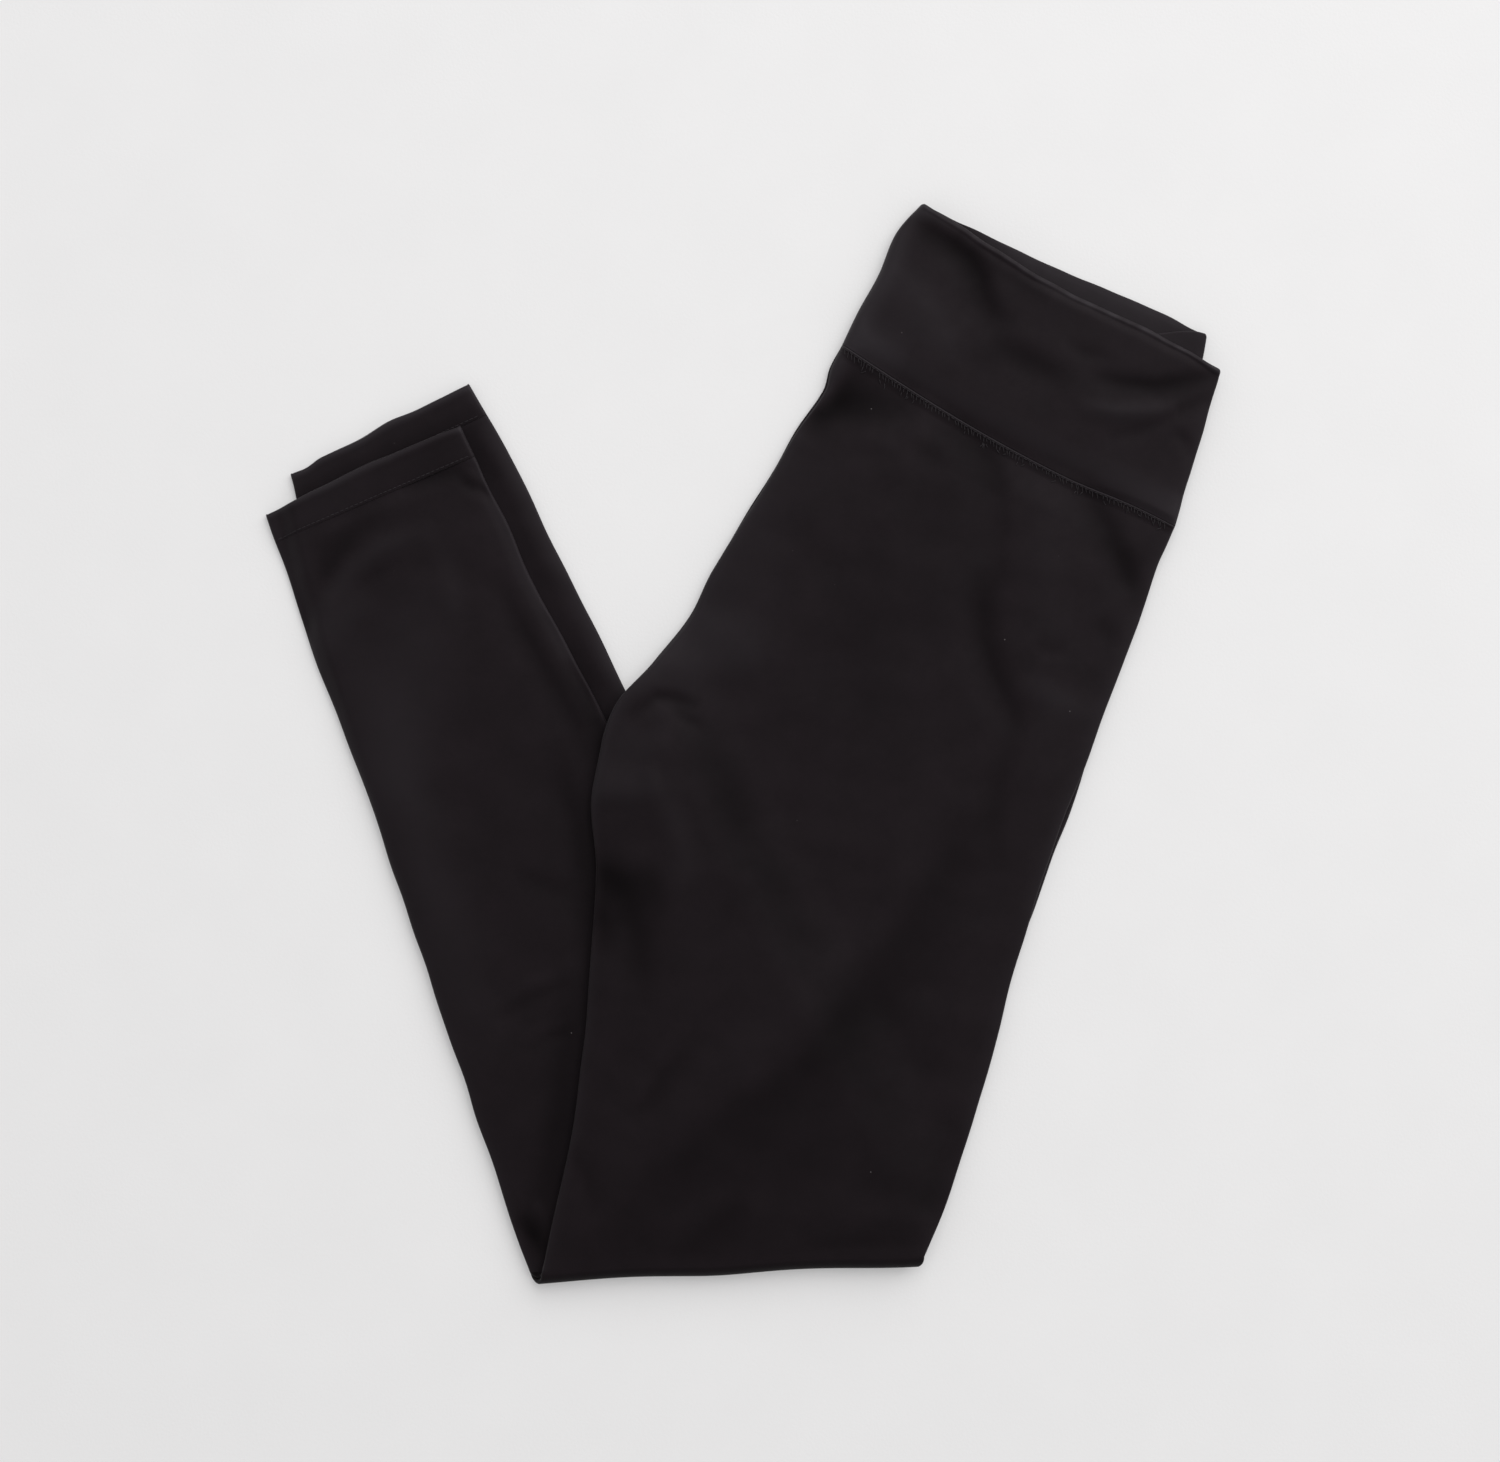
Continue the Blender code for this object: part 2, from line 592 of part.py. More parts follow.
def build():
    """Builds the folded pair."""
    clear_scene()
    home = bpy.data.collections.new("folded_leggings")
    bpy.context.scene.collection.children.link(home)
    material = cloth_material()
    band = Waistband()
    walls = band.rings(BAND_TUBE / 2), band.rings(BAND_SLIT / 2)
    sleeve_loft("waistband", *walls, home, material)
    for side, shin, is_top in (("right", TOP_LEG_SHIN, True), ("left", UNDER_LEG_SHIN, False)):
        leg = Leg(shin, is_top)
        closed_loft(f"{side}_leg", leg.rings(), home, material)
        sleeve_loft(f"{side}_hem", *leg.hem_rings(), home, material)


build()
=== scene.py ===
"""High-waisted black jersey leggings, folded in half lengthwise and under at the knee, lying flat.

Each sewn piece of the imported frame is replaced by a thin, hollow cloth shell that lies on the same
form: two legs, the doubled waistband and two turned-up hems. The shells carry the creases, the
seams and their stitches.
"""

from __future__ import annotations

import logging
import math
from collections.abc import Callable
from dataclasses import dataclass
from enum import Enum
from typing import NamedTuple

import bpy
import numpy as np
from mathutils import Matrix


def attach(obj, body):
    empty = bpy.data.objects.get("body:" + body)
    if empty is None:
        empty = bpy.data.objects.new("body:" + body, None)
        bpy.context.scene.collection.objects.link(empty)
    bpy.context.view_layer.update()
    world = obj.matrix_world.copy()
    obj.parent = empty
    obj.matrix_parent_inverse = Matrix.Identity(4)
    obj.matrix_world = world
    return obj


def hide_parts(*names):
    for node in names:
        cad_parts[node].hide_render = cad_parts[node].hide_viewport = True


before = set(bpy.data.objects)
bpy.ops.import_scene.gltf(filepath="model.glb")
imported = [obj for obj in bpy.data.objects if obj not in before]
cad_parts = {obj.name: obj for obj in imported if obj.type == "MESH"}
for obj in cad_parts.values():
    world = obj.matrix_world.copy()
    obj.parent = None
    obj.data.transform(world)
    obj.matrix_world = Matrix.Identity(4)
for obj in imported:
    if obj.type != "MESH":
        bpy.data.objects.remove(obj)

Array = np.ndarray
Value = Array | float
Colour = tuple[float, float, float]
Pair = tuple[float, float]
Object = bpy.types.Object
Material = bpy.types.Material
Socket = bpy.types.NodeSocket
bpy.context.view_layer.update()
MM = 0.001
BODY = "root"
log = logging.getLogger("leggings")


class Side(Enum):
    """The wearer's side that a piece belongs to."""

    RIGHT = "right"
    LEFT = "left"


class Facing(Enum):
    """Which way a flattened tube's wall faces."""

    UP = 1
    DOWN = -1


# ---- Sizes ----


class Bump(NamedTuple):
    """A soft rise that ends: its height, its middle and how far from there it is gone."""

    height: float
    middle: float
    reach: float

    def at(self, value: Value) -> Value:
        """Gives the rise at a value."""
        off = np.minimum(1.0, np.abs(value - self.middle) / self.reach)
        return self.height * (0.5 + 0.5 * np.cos(np.pi * off))


class Bell(NamedTuple):
    """A soft rise with thin tails: its height, its middle and how far from there it fades."""

    height: float
    middle: float
    width: float

    def at(self, value: Value) -> Value:
        """Gives the rise at a value."""
        return self.height * np.exp(-(((value - self.middle) / self.width) ** 2))


@dataclass(frozen=True)
class ClothSizes:
    """Thicknesses of the cloth and of the tubes that it is sewn into, in metres."""

    tube: float = 2.6 * MM
    waist_tube: float = 3.3 * MM
    waist_tube_fade: float = 30 * MM
    layer_gap: float = 0.4 * MM
    wall: float = 0.9 * MM
    band_wall: float = 1.5 * MM
    band_slit: float = 0.6 * MM
    hem_wall: float = 1.4 * MM
    hem_slit: float = 0.5 * MM
    hem_depth: float = 15 * MM
    seam_gap: float = 0.06 * MM
    sewn_bulge: float = 0.14
    thread: float = 0.2 * MM
    thread_low: float = 0.10 * MM

    @property
    def pitch(self) -> float:
        """The height from one layer of the stack to the next."""
        return self.tube + self.layer_gap

    @property
    def band_tube(self) -> float:
        """The thickness of one half of the waistband."""
        return 2 * self.band_wall + self.band_slit

    @property
    def hem_tube(self) -> float:
        """The thickness of a flattened hem."""
        return 2 * self.hem_wall + self.hem_slit


@dataclass(frozen=True)
class LaySizes:
    """How the cloth lies: drapes, puffs and waves, in metres, and painted light and shade as shares.
    """

    drape_start: float = 2 * MM
    drape_end: float = 46 * MM
    droop_start: float = 1 * MM
    droop_end: float = 11 * MM
    bare_end: float = 10 * MM
    thigh_puff: float = 3.0 * MM
    shin_puff: float = 1.6 * MM
    band_puff: float = 2.2 * MM
    deepest: float = -0.8 * MM
    # The next two set how strongly the creases paint shade into hollows and a faint highlight onto
    # ridges.
    painted_shade_depth: float = 3.3 * MM
    ridge_highlight_share: float = 0.35
    softness: float = 0.25 * MM
    rim: float = 7 * MM
    soft_rim: float = 3 * MM
    end_fade: float = 25 * MM
    knee_fade: float = 8 * MM
    edge_shift_reach: float = 25 * MM
    wander_reach: float = 18 * MM
    wander_start: float = 15 * MM
    sewn_fade: float = 25 * MM
    front_dip: float = 11 * MM
    dip_start: float = 0.8
    seam_sag: float = -5 * MM
    seam_rise: Bump = Bump(1.5 * MM, 0.88, 0.2)
    seam_sag_length: float = 40 * MM
    seam_roll: Bell = Bell(0.7 * MM, 0.75 * MM, 0.55 * MM)
    seam_turnings: float = 0.3 * MM
    turnings_end: Pair = (3.6 * MM, 5.4 * MM)
    corner: float = 1.6 * MM
    hem_corner: float = 1.2 * MM
    corner_bite: float = 0.6
    top_edge_sag: Bump = Bump(-3.7 * MM, 0.4, 0.45)
    under_edge_sag: Bump = Bump(-1.2 * MM, 0.4, 0.45)
    under_edge_rise: Bump = Bump(1.0 * MM, 0.75, 0.3)
    # Strengths and reach of the painted highlight along the tubes' folded edges.
    rise_highlight: float = 0.8
    inseam_highlight: float = 0.35
    side_highlight: float = 0.55
    low_side_highlight: float = 0.35
    shin_highlight: Pair = (0.45, 0.75)
    band_highlight: Pair = (0.65, 0.5)
    edge_highlight_reach: float = 3.0 * MM
    highlight_fade: float = 20 * MM
    # A painted highlight on the edge rolled beside the waist seam, and painted shade under the
    # ladder.
    roll_highlight: Bell = Bell(0.85, 0.45 * MM, 0.55 * MM)
    ladder_shade: float = -0.36
    ladder_start: Pair = (1.0 * MM, 1.6 * MM)
    ladder_end: Pair = (3.2 * MM, 4.6 * MM)
    knee_shade: float = 0.85
    knee_waves: tuple[Bump, ...] = (Bump(1.6 * MM, 0.23, 0.3), Bump(1.6 * MM, 0.69, 0.28))
    knee_wave_length: float = 40 * MM
    hem_gape: float = 0.9 * MM
    hem_bow: float = 1.5 * MM
    hem_hollows: tuple[Bump, ...] = (Bump(-1.2 * MM, 0.42, 0.2), Bump(-1.2 * MM, 0.09, 0.09))
    hem_pinch: Bell = Bell(-0.3 * MM, 0.03, 0.09)
    hem_roll: Bell = Bell(0.3 * MM, 0.90, 0.07)
    # A painted highlight at the hem's mouth and a thin painted shade at its seam.
    hem_painted_light: tuple[Bell, ...] = (Bell(0.7, 1.0, 0.12), Bell(-0.15, 0.0, 0.03))


CLOTH = ClothSizes()
LAY = LaySizes()


class ThighLine(NamedTuple):
    """A cross line of the thighs, in mm.

    The top leg's inner and outer ends are given; the under leg's inner end lies under_in past the
    top leg's, and its outer end lies under_out past the top leg's and under_up nearer the waist.
    """

    inner_x: float
    inner_y: float
    outer_x: float
    outer_y: float
    under_in: float
    under_out: float
    under_up: float


class ShinLine(NamedTuple):
    """A cross line of a shin, in mm."""

    inner_x: float
    inner_y: float
    outer_x: float
    outer_y: float


class BandLine(NamedTuple):
    """A cross line of the waistband, in mm: its centre end and the side ends of its two halves."""

    inner_x: float
    inner_y: float
    outer_x: float
    outer_y: float
    under_x: float
    under_y: float


THIGH: dict[str, ThighLine] = {
    "waist seam": ThighLine(49.8, 199.1, 215.9, 107.6, 0.0, -6.5, 16.5),
    "seam flare": ThighLine(44.6, 187.3, 211.5, 98.3, 0.9, -5.0, 14.3),
    "hip hollow": ThighLine(41.8, 176.0, 207.3, 88.9, 1.8, -3.5, 12.0),
    "hip swell": ThighLine(26.7, 155.4, 201.0, 70.2, 0.8, -2.6, 9.7),
    "hip": ThighLine(16.8, 138.8, 196.6, 56.7, 0.0, -2.0, 8.0),
    "mid rise": ThighLine(-15.0, 86.3, 182.6, 18.7, 0.0, -1.5, 4.0),
    "seat": ThighLine(-25.8, 64.2, 176.0, 0.8, 0.0, 0.0, 2.0),
    "low rise": ThighLine(-43.7, 41.1, 168.7, -18.7, 0.0, 1.0, 0.0),
    "crotch top": ThighLine(-64.3, 17.0, 157.0, -48.7, 0.0, 1.6, 0.0),
    "crotch point": ThighLine(-74.8, -24.5, 147.1, -78.9, -1.0, 0.8, 0.0),
    "upper inseam": ThighLine(-72.8, -63.5, 137.6, -108.7, -2.0, -1.0, 0.0),
    "mid thigh": ThighLine(-77.3, -133.5, 127.8, -146.0, -2.0, -1.5, 0.0),
    "thigh swell": ThighLine(-80.3, -159.8, 123.0, -165.3, -2.0, -1.5, 0.0),
    "low thigh": ThighLine(-83.3, -186.0, 116.8, -184.5, -2.0, -1.5, 0.0),
    "over knee": ThighLine(-91.3, -223.5, 104.2, -224.5, -1.5, -1.0, 0.0),
    "knee": ThighLine(-100.3, -264.8, 90.6, -255.8, 0.0, 0.0, 0.0),
}

TOP_LEG_SHIN: dict[str, ShinLine] = {
    "knee": ShinLine(-106.4, -264.8, 87.6, -255.8),
    "under knee": ShinLine(-114.3, -238.0, 74.0, -231.5),
    "high calf": ShinLine(-129.3, -192.0, 43.8, -173.0),
    "calf": ShinLine(-146.8, -139.5, 13.3, -113.5),
    "low calf": ShinLine(-168.3, -71.0, -24.8, -39.5),
    "mid shin": ShinLine(-188.3, -8.5, -60.8, 30.5),
    "low shin": ShinLine(-206.3, 51.5, -90.7, 91.7),
    "ankle": ShinLine(-216.8, 91.5, -111.9, 134.7),
    "hem": ShinLine(-226.3, 133.5, -136.3, 178.5),
}

UNDER_LEG_SHIN: dict[str, ShinLine] = {
    "knee": ShinLine(-106.4, -264.8, 87.6, -255.8),
    "under knee": ShinLine(-116.0, -238.2, 71.0, -230.5),
    "high calf": ShinLine(-131.6, -191.2, 37.3, -172.5),
    "calf": ShinLine(-149.5, -138.5, 2.8, -113.5),
    "low calf": ShinLine(-172.5, -71.0, -37.3, -44.5),
    "mid shin": ShinLine(-193.1, -11.0, -74.3, 23.5),
    "low shin": ShinLine(-214.0, 41.2, -104.8, 81.0),
    "ankle": ShinLine(-226.4, 78.9, -122.8, 120.5),
    "hem": ShinLine(-238.2, 113.5, -140.8, 157.5),
}

BAND: dict[str, BandLine] = {
    "seam": BandLine(49.8, 199.1, 215.9, 107.6, 217.7, 125.4),
    "low": BandLine(58.0, 216.2, 222.8, 131.0, 221.3, 144.5),
    "middle": BandLine(68.2, 234.6, 229.3, 153.5, 225.0, 164.0),
    "high": BandLine(76.8, 255.0, 234.3, 170.0, 228.8, 184.0),
    "top edge": BandLine(90.0, 270.6, 239.1, 186.3, 232.9, 204.2),
}


@dataclass(frozen=True)
class Crease:
    """A soft trough or ridge in a wall, in mm, carrying painted shade and highlight.

    Attributes:
        path: the points that it runs through.
        height: its middle's height, negative for a trough.
        left: how far to the left of its way it has mostly gone.
        right: the same to the right of its way.
        dark: how much painted shade it lays down for its depth; on a ridge, painted highlight.
        bank: the height of a bank to the left of its way, as a share of its own height and of the
            other sign.
    """

    path: tuple[Pair, ...]
    height: float
    left: float
    right: float
    dark: float = 1.0
    bank: float = 0.0


# In the crease tables the dark column paints shade into troughs and a faint highlight onto ridges;
# rows named shade or glow are mostly painted shade or painted light.
THIGH_CREASES: dict[str, Crease] = {
    "knee to side trough": Crease(
        ((-82, -270), (-60, -241), (-40, -218), (-16, -199), (10, -180), (33, -160), (52, -139),
         (71, -115), (88, -88), (102, -63), (116, -36), (123, -8)), -1.5, 11.0, 19.0, 0.95, 0.2
    ),
    "knee to side ridge": Crease(
        ((-70, -206), (-40, -180), (4, -148), (44, -112), (70, -84)), 0.4, 11.0, 8.0
    ),
    "side continuation": Crease(
        ((140, 24), (134, 2), (127, -20), (124, -40), (126, -68)), -0.6, 7.0, 6.0, 1.4
    ),
    "drape shade": Crease(
        ((106, -246), (93, -221), (63, -163), (33, -103), (-5, -29), (-34, 28), (-44, 50)),
        -0.3, 13.0, 13.0, 4.0
    ),
    "middle shade": Crease(((104, 156), (84, 100), (62, 40), (44, -20)), -0.3, 26.0, 22.0, 1.6),
    "seat shade": Crease(((-32, 18), (-12, -21), (6, -57), (22, -104)), -0.3, 13.0, 15.0, 1.9),
    "low shade": Crease(((-34, -256), (20, -216), (60, -188), (108, -168)), -0.3, 24.0, 22.0, 2.2),
    "low knee trough": Crease(
        ((-40, -256), (-24, -248), (-8, -236), (4, -228)), -0.8, 5.5, 9.0, 1.0, 0.2
    ),
    "knee fold trough": Crease(((22, -250), (56, -249), (92, -247)), -0.7, 8.0, 6.0),
    "crotch crease": Crease(
        ((-60, 9), (-52, 17), (-43, 23), (-33, 22), (-21, 17)), -1.4, 3.4, 4.0, 1.5
    ),
    "crotch side crease": Crease(((-37, 19), (-29, 12), (-19, 7)), -0.7, 3.0, 3.0),
    "crotch puff": Crease(((-56, 44), (-26, 40), (10, 44)), 1.0, 16.0, 12.0, 2.2),
    "crotch bulge": Crease(((-96, -23), (-72, -23), (-56, -25), (-40, -23)), 2.0, 15.0, 6.0, 1.5),
    "crotch ridge": Crease(
        ((-46, -10), (-40, -26), (-35, -42), (-30, -58), (-32, -80)), 0.9, 7.0, 7.0, 1.8
    ),
    "front rise rim": Crease(
        ((34, 158), (20, 136), (0, 104), (-20, 70), (-44, 40), (-70, 6)), 0.3, 28.0, 9.0, 6.5
    ),
    "inseam hollow": Crease(
        ((-124, -60), (-94, -61), (-72, -64), (-56, -70), (-46, -82)), -0.8, 9.0, 19.0, 3.4
    ),
    "inseam valley": Crease(
        ((-70, -62), (-58, -76), (-52, -96), (-51, -114), (-52, -134)), -1.1, 8.0, 10.0, 1.4
    ),
    "inseam edge shade": Crease(((-76, -78), (-69, -90), (-66, -106)), -0.3, 6.0, 6.0, 5.0),
    "inseam inner shade": Crease(((-50, -56), (-44, -72), (-42, -90)), -0.3, 6.0, 6.0, 4.0),
    "crotch glow": Crease(((-70, 1), (-53, -1), (-34, 0)), 0.3, 8.0, 8.0, 6.5),
    "seat dip": Crease(((-16, -6), (-8, -36), (-6, -66)), -0.5, 12.0, 12.0, 0.8),
    "short knee trough": Crease(
        ((-58, -190), (-47, -179), (-39, -166), (-26, -152)), -1.0, 4.5, 8.0, 1.0, 0.25
    ),
    "low inseam trough": Crease(((-86, -200), (-78, -214), (-74, -236)), -0.8, 6.0, 5.0),
    "hip trough": Crease(
        ((106, 160), (114, 152), (121, 143), (127, 128), (129, 106), (127, 86), (122, 68),
         (124, 52), (129, 37), (135, 22), (143, 4)), -0.8, 5.5, 10.0
    ),
    "hip trough head": Crease(
        ((94, 156), (108, 150), (122, 141), (132, 124)), -0.7, 7.0, 11.0, 1.8
    ),
    "hip trough end": Crease(
        ((121, 88), (118, 70), (119, 52), (124, 36), (131, 20), (139, 0)), -1.2, 5.0, 9.0
    ),
    "hip ridge": Crease(((146, 130), (152, 80), (154, 44)), 0.8, 12.0, 14.0),
    "hip low ridge": Crease(((140, 34), (156, 20), (180, 12)), 0.5, 7.0, 8.0, 5.0),
    "hip dimple": Crease(((144, 48), (153, 46), (163, 46)), -0.6, 5.0, 4.0),
    "hip side dimple": Crease(((176, 62), (182, 54), (186, 46)), -0.5, 5.0, 5.0),
    "seat trough": Crease(((10, 122), (30, 104), (48, 82), (64, 50)), -0.3, 9.0, 12.0, 2.6),
    "seat ridge": Crease(((-34, 66), (-8, 52), (22, 40)), 0.6, 12.0, 12.0, 2.6),
    "side seam trough": Crease(
        ((167, 129), (175, 118), (182, 106), (187, 92), (192, 74)), -1.6, 6.5, 9.0
    ),
    "side edge shade": Crease(((190, 98), (195, 82), (198, 64)), -0.3, 6.0, 6.0, 5.0),
    "side ridge": Crease(((158, 62), (150, 10), (126, -54)), 0.5, 11.0, 11.0),
    "waist pocket": Crease(
        ((0, 171), (26, 169), (46, 170), (64, 169), (90, 161)), -1.4, 10.0, 11.0, 1.7
    ),
    "seam corner glow": Crease(((49, 212), (44, 186), (37, 166)), 0.3, 6.0, 6.0, 16.0),
    "side thigh shade": Crease(((62, -124), (84, -150), (112, -166)), -0.3, 11.0, 11.0, 2.0),
    "low side shade": Crease(((108, -190), (100, -212), (92, -236)), -0.3, 9.0, 10.0, 3.0),
    "waist pocket ridge": Crease(((58, 154), (70, 150), (88, 146)), 0.6, 7.0, 6.0, 1.6),
    "rise hollow": Crease(((62, 188), (46, 174), (30, 152)), -1.2, 8.0, 7.0, 1.2),
    "under seam dip": Crease(((74, 150), (88, 146), (100, 140)), -0.5, 7.0, 6.0),
    "side of knee pocket": Crease(
        ((56, -207), (74, -220), (90, -231), (112, -240)), -1.0, 12.0, 13.0
    ),
}

SHIN_CREASES: dict[str, Crease] = {
    "ankle ridge": Crease(
        ((-220, 34), (-212, 58), (-206, 73), (-195, 87), (-181, 97), (-166, 103), (-152, 106)),
        1.0, 5.5, 5.5, 2.6
    ),
    "ankle outer trough": Crease(
        ((-220, 54), (-212, 76), (-203, 93), (-192, 106), (-178, 114)), -0.9, 8.0, 6.0, 1.5
    ),
    "ankle inner trough": Crease(((-194, 75), (-186, 83), (-170, 91)), -0.45, 3.0, 3.5, 1.5),
    "ankle edge glow": Crease(((-232, 114), (-223, 94), (-212, 66)), 0.3, 8.0, 8.0, 6.0),
    "ankle inner glow": Crease(
        ((-216, 36), (-206, 54), (-196, 66), (-184, 74)), 0.3, 7.0, 7.0, 6.5
    ),
    "ankle corner glow": Crease(
        ((-162, 104), (-152, 96), (-146, 76), (-142, 52)), 0.3, 6.0, 6.0, 4.0
    ),
    "notch shade": Crease(((-88, 44), (-77, 24), (-70, 8), (-70, -12)), -0.3, 5.0, 7.0, 8.0),
    "ankle corner pinch": Crease(((-142, 130), (-132, 127), (-122, 124)), -0.8, 2.8, 2.8, 1.0, 0.6),
    "ankle corner trough": Crease(
        ((-172, 126), (-158, 132), (-144, 135), (-126, 128)), -0.8, 6.0, 6.0, 2.1
    ),
    "shin crown": Crease(
        ((-212, 82), (-193, 30), (-165, -44), (-144, -112), (-126, -166)), 0.9, 17.0, 14.0, 3.2
    ),
    "shin middle": Crease(((-158, 88), (-162, 56), (-168, 14), (-174, -36)), 0.3, 20.0, 18.0, 8.0),
    "edge valley": Crease(
        ((-127, 88), (-114, 62), (-97, 32), (-83, 6), (-77, -20)), -1.0, 5.0, 8.0, 1.1
    ),
    "calf crease": Crease(((-124, -140), (-106, -127), (-84, -119)), -0.7, 3.0, 5.0, 1.0, 0.5),
    "low calf crease": Crease(((-110, -156), (-96, -147), (-80, -142)), -0.5, 3.0, 4.0, 1.0, 0.5),
    "calf valley": Crease(
        ((-84, -112), (-88, -150), (-92, -188), (-99, -226), (-107, -262)), -1.2, 7.0, 9.0, 1.4
    ),
    "hollow beside thigh": Crease(
        ((-94, 2), (-87, -26), (-81, -52), (-78, -74), (-80, -92), (-86, -110)), -1.2, 7.0, 9.0, 1.3
    ),
    "smear beside thigh": Crease(((-116, -64), (-102, -70), (-82, -76)), -0.5, 5.0, 6.0, 1.6),
    "knee pocket low": Crease(((-112, -236), (-104, -246), (-98, -256)), -1.8, 5.0, 5.0, 1.3),
    "knee pocket bump": Crease(((-106, -230), (-100, -235), (-96, -238)), 0.9, 3.5, 3.5),
}

LOWEST_SHIN_CREASES: dict[str, Crease] = {
    "beside upper shin": Crease(((-96, 56), (-84, 36), (-74, 16), (-66, -4)), -0.3, 6.0, 8.0, 5.0),
    "beside upper hem": Crease(((-150, 150), (-138, 152), (-126, 128)), -0.3, 6.0, 6.0, 4.0),
}

BAND_CREASES: dict[str, Crease] = {
    "corner trough": Crease(
        ((72, 266), (87, 259), (101, 251), (112, 242), (118, 231), (120, 221), (124, 213),
         (136, 206)), -2.4, 6.0, 9.5
    ),
    "corner swell": Crease(((68, 288), (84, 272), (96, 263), (108, 254)), 0.8, 5.0, 5.0, 5.0),
    "rim hollow": Crease(((112, 247), (128, 237), (142, 227), (152, 218)), -0.7, 5.0, 7.0, 1.3),
    "corner bank": Crease(((60, 244), (78, 230), (94, 210), (106, 186)), 1.1, 10.0, 17.0, 2.8),
    "middle pocket": Crease(((121, 201), (137, 193), (150, 186), (164, 178)), -1.2, 7.5, 8.0, 1.4),
    "middle dip": Crease(((104, 200), (116, 190), (132, 184)), -0.4, 8.0, 8.0),
    "side upper trough": Crease(((160, 200), (171, 194), (186, 190)), -0.4, 4.0, 4.0, 1.4),
    "side trough": Crease(
        ((172, 183), (188, 179), (206, 177), (222, 180), (242, 185)), -1.5, 4.5, 6.5, 1.3
    ),
    "side ridge": Crease(((166, 168), (186, 165), (218, 166)), 0.9, 4.0, 4.5, 3.4),
    "side low trough": Crease(((180, 151), (200, 156), (226, 169), (246, 178)), -0.8, 3.5, 4.0),
    "side edge dimple": Crease(((214, 156), (221, 150), (226, 142)), -0.6, 4.0, 4.0),
    "low side swell": Crease(((172, 128), (190, 119), (210, 110), (240, 98)), 0.9, 11.0, 10.0, 4.8),
    "seam end swell": Crease(((42, 214), (57, 202), (82, 190)), 0.3, 11.0, 11.0, 19.0),
}
# ---- Shared geometry ----


def smooth(low: float, high: float, value: Value) -> Value:
    """Gives 0 up to low, 1 from high on, and a soft step between them."""
    share = np.clip((np.asarray(value, dtype=float) - low) / (high - low), 0, 1)
    return share * share * (3 - 2 * share)


def fall(low: float, high: float, value: Value) -> Value:
    """Gives 1 up to low, 0 from high on, and a soft step between them."""
    return 1 - smooth(low, high, value)


def mixed(first: Value, last: Value, share: float) -> Value:
    """Gives the value at a share of the way from a first one to a last one."""
    return first + (last - first) * share


def dome(across: Array, width: Value) -> Array:
    """Gives 0 at both ends of a width and 1 at its middle, with a broad top."""
    share = np.clip(across / width, 0, 1)
    return np.sqrt(np.maximum(0.0, 4 * share * (1 - share)))


def rim_fade(across: Array, width: Value, rim: float) -> Array:
    """Gives 0 at both ends of a width and 1 between its rims."""
    return smooth(0, rim, np.minimum(across, width - across))


def painted_edge_highlight(across: Array, width: Value, highlights: Pair) -> Array:
    """Gives the painted highlight along a flattened tube's inner and outer folded edges."""
    ways = zip(highlights, (across, width - across))
    return sum(most * np.exp(-np.maximum(0, far) / LAY.edge_highlight_reach) for most, far in ways)


def rounded(across: Array, width: Value, size: float) -> Array:
    """Gives how far an edge is drawn in near its two ends, so that its corners are round."""
    near = np.clip(1 - np.minimum(across, width - across) / size, 0, 1)
    return LAY.corner_bite * size * near * near


def seam_wave(share: Value) -> Value:
    """Gives how far the waist seam leaves its straight line, towards the waist."""
    share = np.clip(share, 0, 1)
    return LAY.seam_sag * np.sin(np.pi * share) + LAY.seam_rise.at(share)


def knee_wave(share: Value) -> Value:
    """Gives how far the knee fold leaves its straight line, towards the waist."""
    return sum(wave.at(np.clip(share, 0, 1)) for wave in LAY.knee_waves)


def soft_lift(across: Array, width: Value, puff: Value, soft: Array) -> Array:
    """Joins a wall's puff and its softer forms, each let down at the wall's rims."""
    lift = puff * dome(across, width) * rim_fade(across, width, LAY.rim)
    return lift + soft * rim_fade(across, width, LAY.soft_rim)


def settle(lift: Array) -> Array:
    """Keeps a lowered wall off the one beneath it: it comes to rest softly at the deepest place."""
    reach = (lift - LAY.deepest) / LAY.softness
    return LAY.deepest + LAY.softness * np.logaddexp(0, reach)


def past_path(points: Array, path: Array) -> tuple[Array, Array]:
    """Measures points against a path.

    Args:
        points: an (n, 2) array.
        path: an (m, 2) array of the path's corners.

    Returns:
        The signed distance off the path, positive to the right of its way, and how far along the
        path the nearest place is, from 0 to 1.
    """
    start, way = path[:-1], path[1:] - path[:-1]
    length = np.hypot(way[:, 0], way[:, 1])
    before = np.concatenate([[0.0], np.cumsum(length)[:-1]])
    rel = points[:, None, :] - start[None]
    share = np.clip((rel * way[None]).sum(axis=2) / (length**2)[None], 0, 1)
    off = rel - share[:, :, None] * way[None]
    far = np.hypot(off[:, :, 0], off[:, :, 1])
    best = far.argmin(axis=1)
    rows = np.arange(len(points))
    cross = way[best, 1] * off[rows, best, 0] - way[best, 0] * off[rows, best, 1]
    along = before[best] + share[rows, best] * length[best]
    return far[rows, best] * np.where(cross < 0, -1.0, 1.0), along / length.sum()


